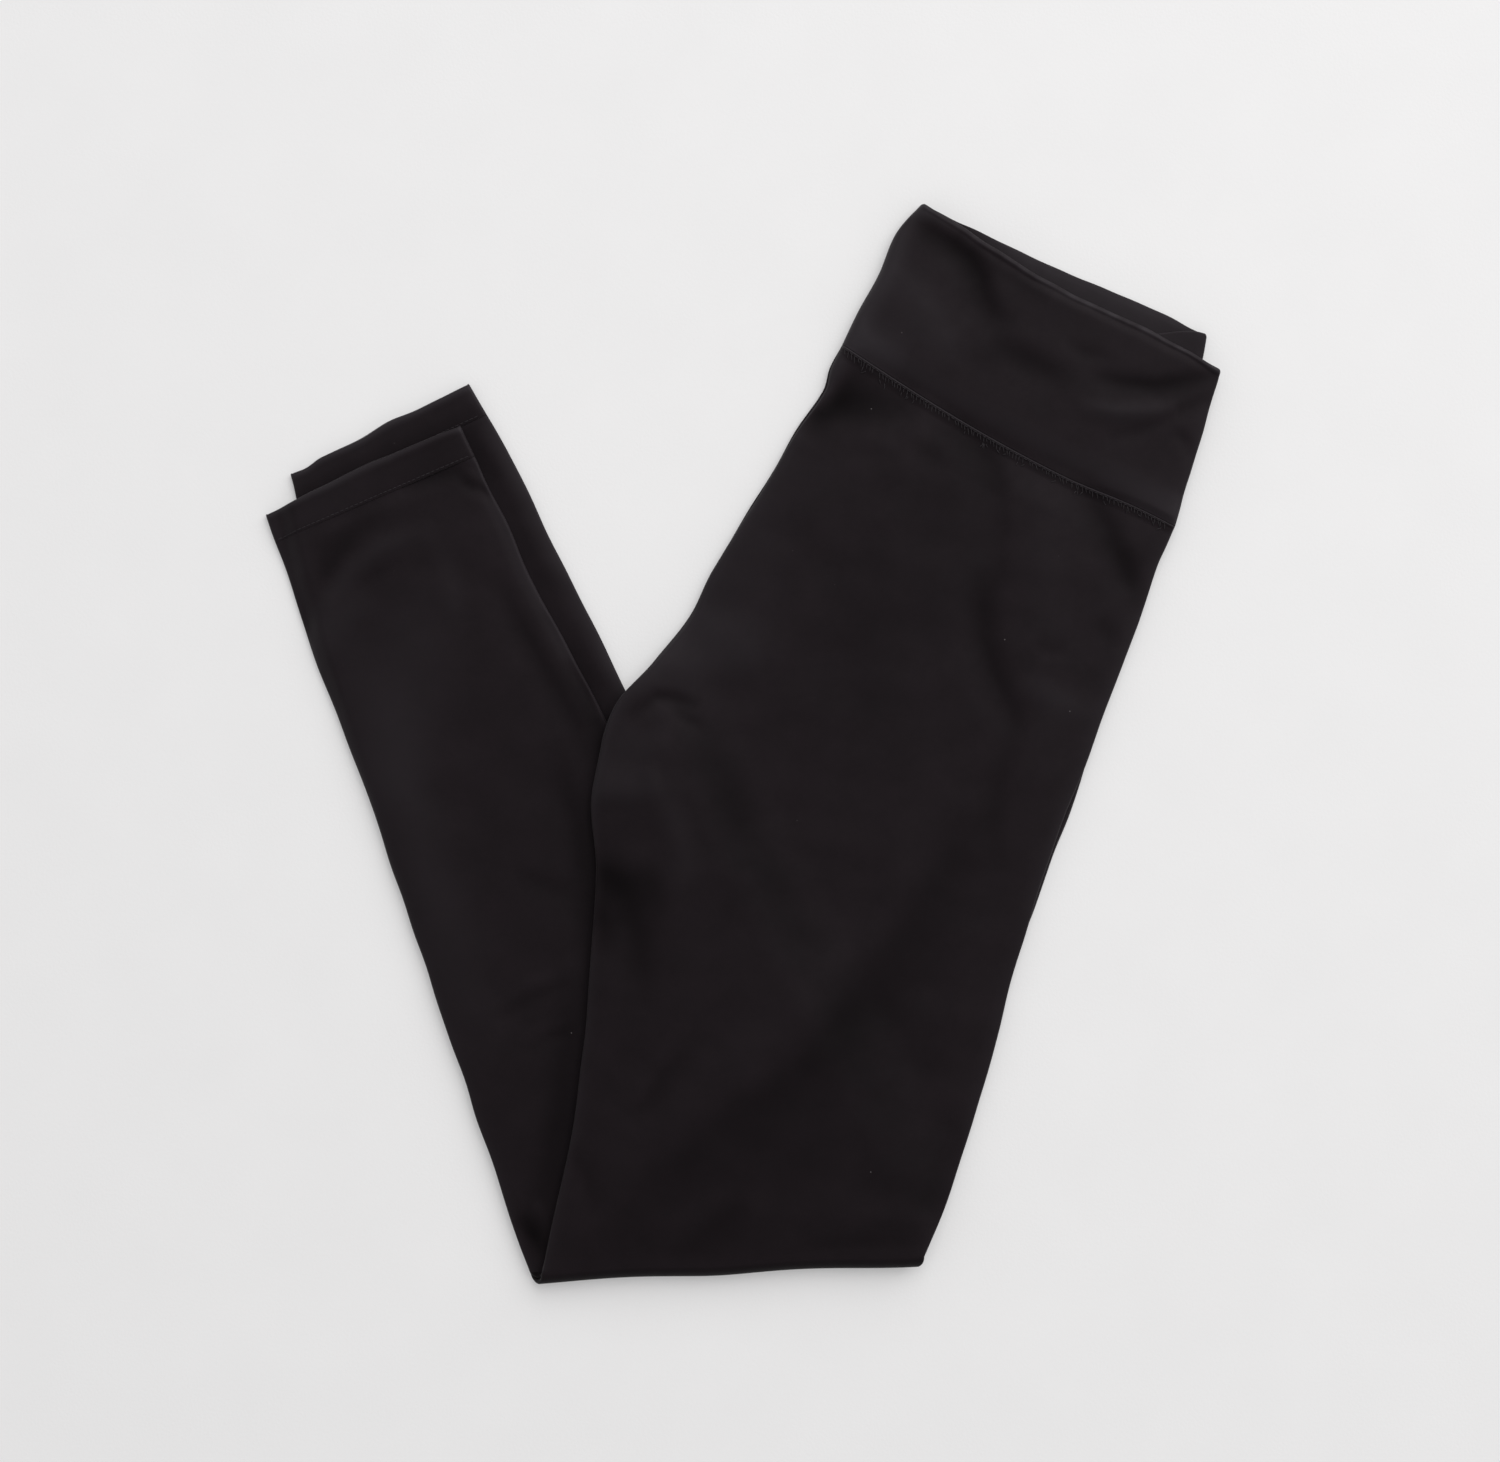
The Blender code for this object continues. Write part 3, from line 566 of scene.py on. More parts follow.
@dataclass(frozen=True)
class CreaseField:
    """All creases of one wall."""

    creases: dict[str, Crease]
    reach: float = 3.0
    round_from: float = 2.5
    end_power: float = 0.7
    bank_place: float = -1.8

    def relief(self, points: Array) -> Array:
        """Gives the height in metres that the creases add at (n, 2) places."""
        return self.sums(points)[0]

    def tone(self, points: Array) -> Array:
        """Gives the painted shading at (n, 2) places: painted shade in hollows, faint highlight on
        ridges.
        """
        share = self.sums(points)[1] / LAY.painted_shade_depth
        return np.minimum(share, LAY.ridge_highlight_share * share)

    def sums(self, points: Array) -> tuple[Array, Array]:
        """Gives the creases' heights at (n, 2) places, plain and weighted by their painted shade."""
        height, shading = np.zeros(len(points)), np.zeros(len(points))
        for crease in self.creases.values():
            path = np.array(crease.path, dtype=float) * MM
            reach = self.reach * max(crease.left, crease.right) * MM
            low, high = path.min(axis=0) - reach, path.max(axis=0) + reach
            near = np.flatnonzero(((points > low) & (points < high)).all(axis=1))
            off, share = past_path(points[near], path)
            width = np.where(off < 0, crease.left, crease.right) * MM
            bank_width = crease.left * MM
            bank = Bell(crease.bank, self.bank_place * bank_width, bank_width).at(off)
            fade = np.sin(np.pi * np.clip(share, 0, 1)) ** self.end_power
            round_end = np.exp(-np.maximum(0, np.abs(off / width) - self.round_from))
            lift = crease.height * MM * fade * round_end * (np.exp(-((off / width) ** 2)) - bank)
            height[near] += lift
            shading[near] += lift * crease.dark
        return height, shading


class Ripple:
    """Low, uneven waves that keep a wall from lying dead flat."""

    def __init__(self, seed: int, height: float, shortest: float, longest: float, count: int = 14):
        """Draws the waves.

        Args:
            seed: of the random draw, so that each run gives the same waves.
            height: the usual height of the sum, in metres.
            shortest: the shortest wave, in metres.
            longest: the longest wave, in metres.
            count: how many waves are summed.
        """
        draw = np.random.default_rng(seed)
        lengths = np.exp(draw.uniform(math.log(shortest), math.log(longest), count))
        angles = draw.uniform(0, 2 * np.pi, count)
        self.waves = 2 * np.pi / lengths[:, None] * np.stack([np.cos(angles), np.sin(angles)], 1)
        self.phases = draw.uniform(0, 2 * np.pi, count)
        weights = lengths / longest
        self.heights = height * weights / math.sqrt((weights**2).sum() / 2)

    def at(self, points: Array) -> Array:
        """Gives the waves' height at (n, 2) places."""
        return np.sin(points @ self.waves.T + self.phases) @ self.heights


@dataclass(frozen=True)
class CrossLine:
    """A straight line across a tube, with ways to measure along it and square to it."""

    inner: Array
    outer: Array

    @property
    def width(self) -> float:
        """The line's length."""
        return float(np.hypot(*(self.outer - self.inner)))

    @property
    def along(self) -> Array:
        """The way from the inner end to the outer one."""
        return (self.outer - self.inner) / self.width

    @property
    def up(self) -> Array:
        """The way square to the line, to the left of it."""
        return np.array([-self.along[1], self.along[0]])

    def points(self, across: Array, shift: Value = 0.0) -> Array:
        """Gives the places so far from the inner end, moved by shift square to the line."""
        shift = np.broadcast_to(shift, across.shape)
        return self.inner + across[:, None] * self.along + shift[:, None] * self.up


class Track:
    """A smooth run through a table's rows, met at their distances along the middle line."""

    def __init__(self, table: dict[str, NamedTuple]):
        """Reads a table whose first four columns are the inner and outer ends, in mm."""
        self.rows = np.array([tuple(row) for row in table.values()], dtype=float) * MM
        middles = (self.rows[:, :2] + self.rows[:, 2:4]) / 2
        steps = np.hypot(*(middles[1:] - middles[:-1]).T)
        self.places = np.concatenate([[0.0], np.cumsum(steps)])
        self.length = float(self.places[-1])
        first = np.maximum(np.arange(len(self.rows)) - 1, 0)
        last = np.minimum(np.arange(len(self.rows)) + 1, len(self.rows) - 1)
        span = (self.places[last] - self.places[first])[:, None]
        self.slopes = (self.rows[last] - self.rows[first]) / span

    def at(self, distance: float) -> Array:
        """Gives all columns at a distance along the middle line."""
        before = np.searchsorted(self.places, distance, "right") - 1
        row = int(np.clip(before, 0, len(self.rows) - 2))
        span = self.places[row + 1] - self.places[row]
        t = (distance - self.places[row]) / span
        return (
            (1 + 2 * t) * (1 - t) ** 2 * self.rows[row]
            + t * (1 - t) ** 2 * span * self.slopes[row]
            + t * t * (3 - 2 * t) * self.rows[row + 1]
            + t * t * (t - 1) * span * self.slopes[row + 1]
        )

    def line(self, distance: float) -> CrossLine:
        """Gives the cross line at a distance along the middle line."""
        row = self.at(distance)
        return CrossLine(row[:2], row[2:4])

    def edge(self, column: int, steps: int = 90) -> Array:
        """Gives points along an edge: column 0 for the inner one and 2 for the outer one."""
        places = [self.length * step / steps for step in range(steps + 1)]
        return np.array([self.at(place)[column : column + 2] for place in places])

    def cut_area(self, start: float, end: float, steps: int = 60) -> float:
        """Gives the area between two distances of both walls of the flattened tube."""
        places = np.linspace(start, end, steps)
        widths = np.array([self.line(place).width for place in places])
        return float((widths[1:] + widths[:-1]) @ np.diff(places))


class TubeLoop:
    """A flattened tube's outline: up its inner edge, out along one wall and back on the other."""

    def __init__(self, raised_columns: int, lowered_columns: int, edge_steps: int = 6):
        """Sets how many columns each wall has, and how many points each quarter of an edge has.

        Args:
            raised_columns: of the wall off the middle towards +1.
            lowered_columns: of the wall off the middle towards -1.
            edge_steps: points of a quarter round.
        """
        self.columns = {1: raised_columns, -1: lowered_columns}
        self.quarter = np.linspace(0, np.pi / 2, edge_steps + 1)[:-1]
        self.half = 2 * edge_steps + raised_columns

    def outline(
        self, width: float, radius: float, inset: float, sewn: float, lip: int
    ) -> tuple[Array, Array]:
        """Works out the outline.

        Args:
            width: of the whole tube.
            radius: half the outline's thickness.
            inset: how far the outline lies inside the tube's ends.
            sewn: 1 where the inner edge is a quarter round that meets the other leg, 0 where free.
            lip: the side of the middle, 1 or -1, on which a sewn edge meets the other leg.

        Returns:
            The distances from the tube's inner end, and the distances off its middle.
        """
        across, off = [], []
        for side in (1, -1):
            angles = np.append(self.quarter, np.pi / 2) * side
            quarter = (np.pi / 2 - angles * lip) / 2
            free = radius - radius * np.cos(angles), radius * np.sin(angles)
            closed = 2 * radius * (1 - np.cos(quarter)), lip * radius * (1 - 2 * np.sin(quarter))
            edge_in, edge_off = (mixed(a, b, sewn) for a, b in zip(free, closed))
            end = width - 2 * inset - radius
            wall = np.linspace(edge_in[-1], end, self.columns[side] + 1)
            turn = self.quarter[::-1] * side
            keep = slice(None, -1) if side == 1 else slice(None, 0, -1)
            half_across = [edge_in[:-1], wall, end + radius * np.cos(turn)]
            half_off = [edge_off[:-1], wall * 0 + edge_off[-1], radius * np.sin(turn)]
            across.append(np.concatenate(half_across)[keep])
            off.append(np.concatenate(half_off)[keep])
        return np.concatenate(across) + inset, np.concatenate(off)


# ---- Shells and threads ----


class Ring(NamedTuple):
    """One ring of a cloth shell.

    points are its (n, 3) places and cloth their (n, 2) cloth coordinates in metres. The third field
    is painted light and shade: up to 1 for a painted highlight on an edge, down to -1 for painted
    shade in a deep hollow.
    """

    points: Array
    cloth: Array
    tone: Array


def rim_rings(outer: Ring, inner: Ring, next_ring: Ring, steps: int, bulge: float) -> list[Ring]:
    """Rounds a wall's edge off.

    Args:
        outer: the last ring of the outer surface.
        inner: the last ring of the inner surface.
        next_ring: the ring before the outer one, which tells the way out of the edge.
        steps: how many rings the round has.
        bulge: how far it reaches out: 1 for a half round, less for an edge sewn to another.

    Returns:
        The rings between the two, in order from the outer one.
    """
    way = outer.points - next_ring.points
    way /= np.linalg.norm(way, axis=1, keepdims=True)
    middle, half = (outer.points + inner.points) / 2, (outer.points - inner.points) / 2
    reach = way * np.linalg.norm(half, axis=1, keepdims=True) * bulge
    angles = [np.pi * (i + 1) / (steps + 1) for i in range(steps)]
    rounds = (middle + half * math.cos(angle) + reach * math.sin(angle) for angle in angles)
    return [Ring(points, outer.cloth, outer.tone) for points in rounds]


@dataclass(frozen=True)
class ClothShell:
    """A closed, hollow skin: an outer surface, a rim, the inner surface and the rim at its start.

    Attributes:
        name: of the object.
        outside: the outer surface's rings, each with its points in the same order.
        inside: the inner surface's rings, from the far end back.
        half: where in a ring its second wall begins, whose cloth coordinates are mirrored.
        far_bulge: how far the far rim reaches out.
        near_bulge: the same for the near rim, at the start.
        far_steps: how many rings the far rim has.
        near_steps: the same for the near rim.
    """

    name: str
    outside: list[Ring]
    inside: list[Ring]
    half: int
    far_bulge: float
    near_bulge: float
    far_steps: int = 3
    near_steps: int = 3

    def build(self, material: Material) -> Object:
        """Makes the piece, with its UV map named cloth and an attribute of painted light and shade.
        """
        (start, second), (before, end) = self.outside[:2], self.outside[-2:]
        far_rim = rim_rings(end, self.inside[0], before, self.far_steps, self.far_bulge)
        near_rim = rim_rings(start, self.inside[-1], second, self.near_steps, self.near_bulge)
        rings = self.outside + far_rim + self.inside + near_rim[::-1]
        points, cloth, tone = (np.concatenate(parts) for parts in zip(*rings))
        faces = self.faces(len(start.points), len(rings))
        piece = add_piece(self.name, points, faces.tolist(), material)
        self.write_uvs(piece.data, faces, cloth, len(start.points))
        # The attribute holds painted shade below zero and painted highlights above it.
        attribute = piece.data.attributes.new(name="tone", type="FLOAT", domain="POINT")
        attribute.data.foreach_set("value", np.clip(tone, -1, 1).astype(np.float32))
        return piece

    @staticmethod
    def faces(count: int, rings: int) -> Array:
        """Gives the quads that join each ring to the next and the last to the first."""
        i = np.arange(count)
        j = (i + 1) % count
        near = np.arange(rings)[:, None] * count
        far = np.roll(near, -1, axis=0)
        return np.stack([near + i, far + i, far + j, near + j], axis=2).reshape(-1, 4)

    def write_uvs(self, mesh: bpy.types.Mesh, faces: Array, cloth: Array, count: int) -> None:
        """Writes the cloth coordinates, cut along the inner edge and joined over the outer one."""
        values = cloth[faces.reshape(-1)]
        column = np.repeat(faces[:, 0] % count, 4)
        values[:, 0] *= np.where(column < self.half, 1.0, -1.0)
        layer = mesh.uv_layers.new(name="cloth")
        layer.data.foreach_set("uv", values.astype(np.float32).reshape(-1))


def link(obj: Object) -> Object:
    """Puts an object in the scene."""
    bpy.context.scene.collection.objects.link(obj)
    return obj


def add_piece(
    name: str, points: Array, faces: list[list[int]], material: Material
) -> Object:
    """Makes a smooth piece of a finish and lets it ride on the body."""
    mesh = bpy.data.meshes.new(name)
    mesh.from_pydata(points.tolist(), [], faces)
    mesh.shade_smooth()
    mesh.materials.append(material)
    obj = link(bpy.data.objects.new(name, mesh))
    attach(obj, BODY)
    log.info("%s: %d faces", name, len(faces))
    return obj


class Stitch:
    """One short thread, modelled once and then laid along each of a row's places."""

    sides = 6
    steps = 4
    end_share = 0.01
    taper = 0.45

    def __init__(self, radius: float):
        """Models a straight thread of unit length along x, with its ends pulled in.

        Args:
            radius: of the thread.
        """
        bpy.ops.object.select_all(action="DESELECT")
        bpy.ops.mesh.primitive_cylinder_add(
            vertices=self.sides,
            radius=radius,
            depth=1.0,
            location=(0.5, 0, 0),
            rotation=(0, math.pi / 2, 0),
        )
        obj = bpy.context.active_object
        bpy.ops.object.transform_apply(location=True, rotation=True, scale=True)
        for step in range(1, self.steps):
            bpy.ops.object.mode_set(mode="EDIT")
            bpy.ops.mesh.select_all(action="SELECT")
            bpy.ops.mesh.bisect(plane_co=(step / self.steps, 0, 0), plane_no=(1, 0, 0))
            bpy.ops.object.mode_set(mode="OBJECT")
        for vertex in obj.data.vertices:
            if not self.end_share <= vertex.co.x <= 1 - self.end_share:
                vertex.co.y *= self.taper
                vertex.co.z *= self.taper
        self.points = np.array([vertex.co[:] for vertex in obj.data.vertices])
        self.faces = [list(polygon.vertices) for polygon in obj.data.polygons]
        bpy.data.objects.remove(obj, do_unlink=True)

    @classmethod
    def run(cls, place: Callable[[float], Array]) -> Array:
        """Gives the lines that threads run along, from their places at a share of the way."""
        return np.stack([place(share) for share in np.linspace(0, 1, cls.steps + 1)], axis=1)

    def sew(self, name: str, lines: Array, material: Material) -> Object:
        """Lays a copy of the thread along each line.

        Args:
            name: of the joined piece.
            lines: an (n, steps + 1, 3) array: the places that each thread runs through.
            material: the thread's finish.

        Returns:
            The piece, riding on the body.
        """
        way = np.gradient(lines, axis=1)
        way /= np.linalg.norm(way, axis=2, keepdims=True)
        side = np.cross(way, np.array([0.0, 0.0, 1.0]))
        side /= np.linalg.norm(side, axis=2, keepdims=True)
        lift = np.cross(side, way)
        level = np.rint(self.points[:, 0] * self.steps).astype(int)
        across, up = self.points[:, 1][None, :, None], self.points[:, 2][None, :, None]
        points = lines[:, level] - side[:, level] * across + lift[:, level] * up
        starts = range(0, len(lines) * len(self.points), len(self.points))
        faces = [[corner + start for corner in face] for start in starts for face in self.faces]
        return add_piece(name, points.reshape(-1, 3), faces, material)


# ---- Finishes ----


class NodeBook:
    """A short way to add and link shader nodes."""

    def __init__(self, name: str, **inputs: float | Colour):
        """Starts a material with a Principled shader, and sets some of the shader's inputs."""
        self.material = bpy.data.materials.new(name)
        self.material.use_nodes = True
        self.tree = self.material.node_tree
        self.shader = self.tree.nodes["Principled BSDF"]
        for key, value in inputs.items():
            self.finish(key.replace("_", " ").title().replace("Ior", "IOR"), value)
        self.place = self.add("TexCoord").outputs["Object"]

    def add(self, kind: str, **settings: object) -> bpy.types.Node:
        """Adds a node of a kind, with its settings."""
        node = self.tree.nodes.new(f"ShaderNode{kind}")
        for key, value in settings.items():
            setattr(node, key, value)
        return node

    def feed(self, target: Socket, value: Socket | Colour | float) -> None:
        """Links an output to an input, or sets a colour or a number there."""
        if isinstance(value, Socket):
            self.tree.links.new(value, target)
        else:
            target.default_value = (*value, 1.0) if isinstance(value, tuple) else value

    def finish(self, key: str, value: Socket | Colour | float) -> None:
        """Feeds an input of the shader."""
        self.feed(self.shader.inputs[key], value)

    def maths(self, operation: str, *values: Socket | float) -> Socket:
        """Adds a Math node on sockets or numbers, and gives its output."""
        node = self.add("Math", operation=operation)
        for target, value in zip(node.inputs, values):
            self.feed(target, value)
        return node.outputs[0]

    def times(self, first: Socket, second: Socket | float) -> Socket:
        """Multiplies two sockets or numbers."""
        return self.maths("MULTIPLY", first, second)

    def total(self, first: Socket, *others: Socket | float) -> Socket:
        """Adds sockets or numbers up."""
        for other in others:
            first = self.maths("ADD", first, other)
        return first

    def noise(self, scale: float, detail: float) -> Socket:
        """Adds a Noise texture on the object's coordinates and gives its value."""
        node = self.add("TexNoise")
        for key, value in (("Scale", scale), ("Detail", detail), ("Vector", self.place)):
            self.feed(node.inputs[key], value)
        return node.outputs["Fac"]

    def mix(self, share: Socket, low: Socket | Colour, high: Colour) -> Socket:
        """Adds a colour mix and gives its result."""
        node = self.add("Mix", data_type="RGBA")
        for number, value in ((0, share), (6, low), (7, high)):
            self.feed(node.inputs[number], value)
        return node.outputs[2]

    def stand(self, height: Socket, distance: float, strength: float = 1.0) -> None:
        """Lets a height stand out of the surface."""
        node = self.add("Bump")
        for key, value in (("Height", height), ("Distance", distance), ("Strength", strength)):
            self.feed(node.inputs[key], value)
        self.finish("Normal", node.outputs[0])


@dataclass(frozen=True)
class JerseyFinish:
    """Soft black cotton jersey with a little elastane: matt, faintly fuzzy, finely knitted.

    Its noises are given by their scale and their detail.
    """

    name: str = "black_jersey_cloth"
    dark: Colour = (0.0026, 0.0009, 0.0017)
    light: Colour = (0.0053, 0.0027, 0.0040)
    # The next colour is painted shade for hollows, the one after a painted highlight for edges.
    painted_shade: Colour = (0.0009, 0.0003, 0.0005)
    painted_light: Colour = (0.0125, 0.0100, 0.0122)
    lint: Colour = (0.16, 0.15, 0.15)
    lint_scale: float = 60.0
    lint_size: float = 0.019
    lint_power: float = 3.5
    roughness: float = 0.63
    roughness_range: float = 0.12
    specular: float = 0.162
    specular_tint: Colour = (0.99, 0.93, 0.98)
    # Specular taken away in painted shade and added in painted highlights.
    shade_specular_loss: float = 0.55
    light_specular_gain: float = 0.45
    sheen: float = 0.05
    sheen_roughness: float = 0.4
    wale: float = 0.42 * MM
    wale_slant: float = 1.6
    wale_share: float = 0.5
    course: float = 0.34 * MM
    course_share: float = 0.35
    knit_depth: float = 0.016 * MM
    fuzz: Pair = (1500.0, 3.0)
    fuzz_depth: float = 0.018 * MM
    nap: Pair = (160.0, 4.0)
    nap_depth: float = 0.054 * MM
    patches: Pair = (14.0, 6.0)
    pills: Pair = (420.0, 3.0)
    clouds: Pair = (70.0, 4.0)
    mottle: tuple[float, float, float] = (0.5, 0.6, 1.5)

    def make(self) -> Material:
        """Makes the material."""
        book = NodeBook(
            self.name,
            specular_tint=self.specular_tint,
            sheen_weight=self.sheen,
            sheen_roughness=self.sheen_roughness,
        )
        nap = book.noise(*self.nap)
        fuzz = book.times(book.noise(*self.fuzz), self.fuzz_depth)
        knit = book.times(self.knit(book), self.knit_depth)
        book.stand(book.total(knit, fuzz, book.times(nap, self.nap_depth)), 1.0)
        patches, pills, clouds = (book.noise(*n) for n in (self.patches, self.pills, self.clouds))
        shares = zip((patches, pills, book.total(clouds, -0.5)), self.mottle)
        share = book.total(*(book.times(*pair) for pair in shares))
        mottled = book.mix(share, self.dark, self.light)
        book.finish("Base Color", self.with_lint(book, self.with_painted_shading(book, mottled)))
        least = self.roughness - self.roughness_range / 2
        book.finish("Roughness", book.total(book.times(nap, self.roughness_range), least))
        return book.material

    def knit(self, book: NodeBook) -> Socket:
        """Gives the height of the knit's wales and slanting courses."""
        split = book.add("SeparateXYZ")
        book.feed(split.inputs[0], book.add("UVMap", uv_map="cloth").outputs["UV"])
        wales = book.maths("SINE", book.times(split.outputs[0], 2 * math.pi / self.wale))
        slant = book.times(book.maths("ABSOLUTE", wales), self.wale_slant)
        rows = book.times(split.outputs[1], 2 * math.pi / self.course)
        courses = book.maths("SINE", book.total(rows, slant))
        courses = book.times(courses, self.course_share)
        return book.total(book.times(wales, self.wale_share), courses)

    def with_painted_shading(self, book: NodeBook, colour: Socket) -> Socket:
        """Paints shade into the cloth's colour and specular in hollows, and paints highlights along
        edges.
        """
        share = book.add("Attribute", attribute_name="tone").outputs["Fac"]
        # Below zero the attribute is painted shade, above zero a painted highlight.
        hollow = book.maths("MAXIMUM", book.times(share, -1.0), 0.0)
        painted_pale = book.maths("MAXIMUM", share, 0.0)
        shaded_specular = book.times(hollow, -self.shade_specular_loss * self.specular)
        lit_specular = book.times(painted_pale, self.light_specular_gain * self.specular)
        book.finish("Specular IOR Level", book.total(shaded_specular, lit_specular, self.specular))
        return book.mix(painted_pale, book.mix(hollow, colour, self.painted_shade), self.painted_light)

    def with_lint(self, book: NodeBook, colour: Socket) -> Socket:
        """Sets a few tiny pale specks of lint on the cloth's colour."""
        cells = book.add("TexVoronoi")
        book.feed(cells.inputs["Scale"], self.lint_scale)
        book.feed(cells.inputs["Vector"], book.place)
        speck = book.maths("LESS_THAN", cells.outputs["Distance"], self.lint_size)
        pick = book.add("SeparateColor")
        book.feed(pick.inputs[0], cells.outputs["Color"])
        chosen = book.maths("POWER", pick.outputs[0], self.lint_power)
        return book.mix(book.times(speck, chosen), colour, self.lint)


@dataclass(frozen=True)
class ThreadFinish:
    """Black polyester sewing thread, a little brighter than the cloth."""

    name: str = "black_thread"
    dark: Colour = (0.0090, 0.0072, 0.0086)
    light: Colour = (0.0310, 0.0270, 0.0305)
    mottle: Pair = (900.0, 2.0)
    twist: Pair = (4000.0, 1.0)
    twist_depth: float = 0.05 * MM

    def make(self) -> Material:
        """Makes the material."""
        book = NodeBook(self.name, roughness=0.55, specular_ior_level=0.2)
        book.finish("Base Color", book.mix(book.noise(*self.mottle), self.dark, self.light))
        book.stand(book.noise(*self.twist), self.twist_depth, 0.5)
        return book.material


@dataclass(frozen=True)
class PaperFinish:
    """The pale, faintly uneven surface that the garment lies on, lit a little from beneath."""

    name: str = "pale_paper"
    dark: Colour = (0.560, 0.562, 0.562)
    light: Colour = (0.592, 0.594, 0.594)
    mottle: Pair = (22.0, 6.0)
    grain: Pair = (700.0, 3.0)
    grain_depth: float = 0.3 * MM
    glow: float = 0.25
    glow_colour: Colour = (1.0, 0.995, 1.0)

    def make(self) -> Material:
        """Makes the material."""
        book = NodeBook(
            self.name,
            roughness=0.95,
            specular_ior_level=0.1,
            emission_color=self.glow_colour,
            emission_strength=self.glow,
        )
        book.finish("Base Color", book.mix(book.noise(*self.mottle), self.dark, self.light))
        book.stand(book.noise(*self.grain), self.grain_depth, 0.25)
        return book.material


# ---- Legs and hems ----


class Surface(NamedTuple):
    """Where places lie in a flattened tube: how far across it, and how far off its middle."""

    across: Array
    off: Array
    radius: float

    def towards(self, side: int) -> Array:
        """Gives how near places are to the wall on a side of the middle, 1 or -1, as a share."""
        return np.clip(side * self.off / self.radius, 0, 1)


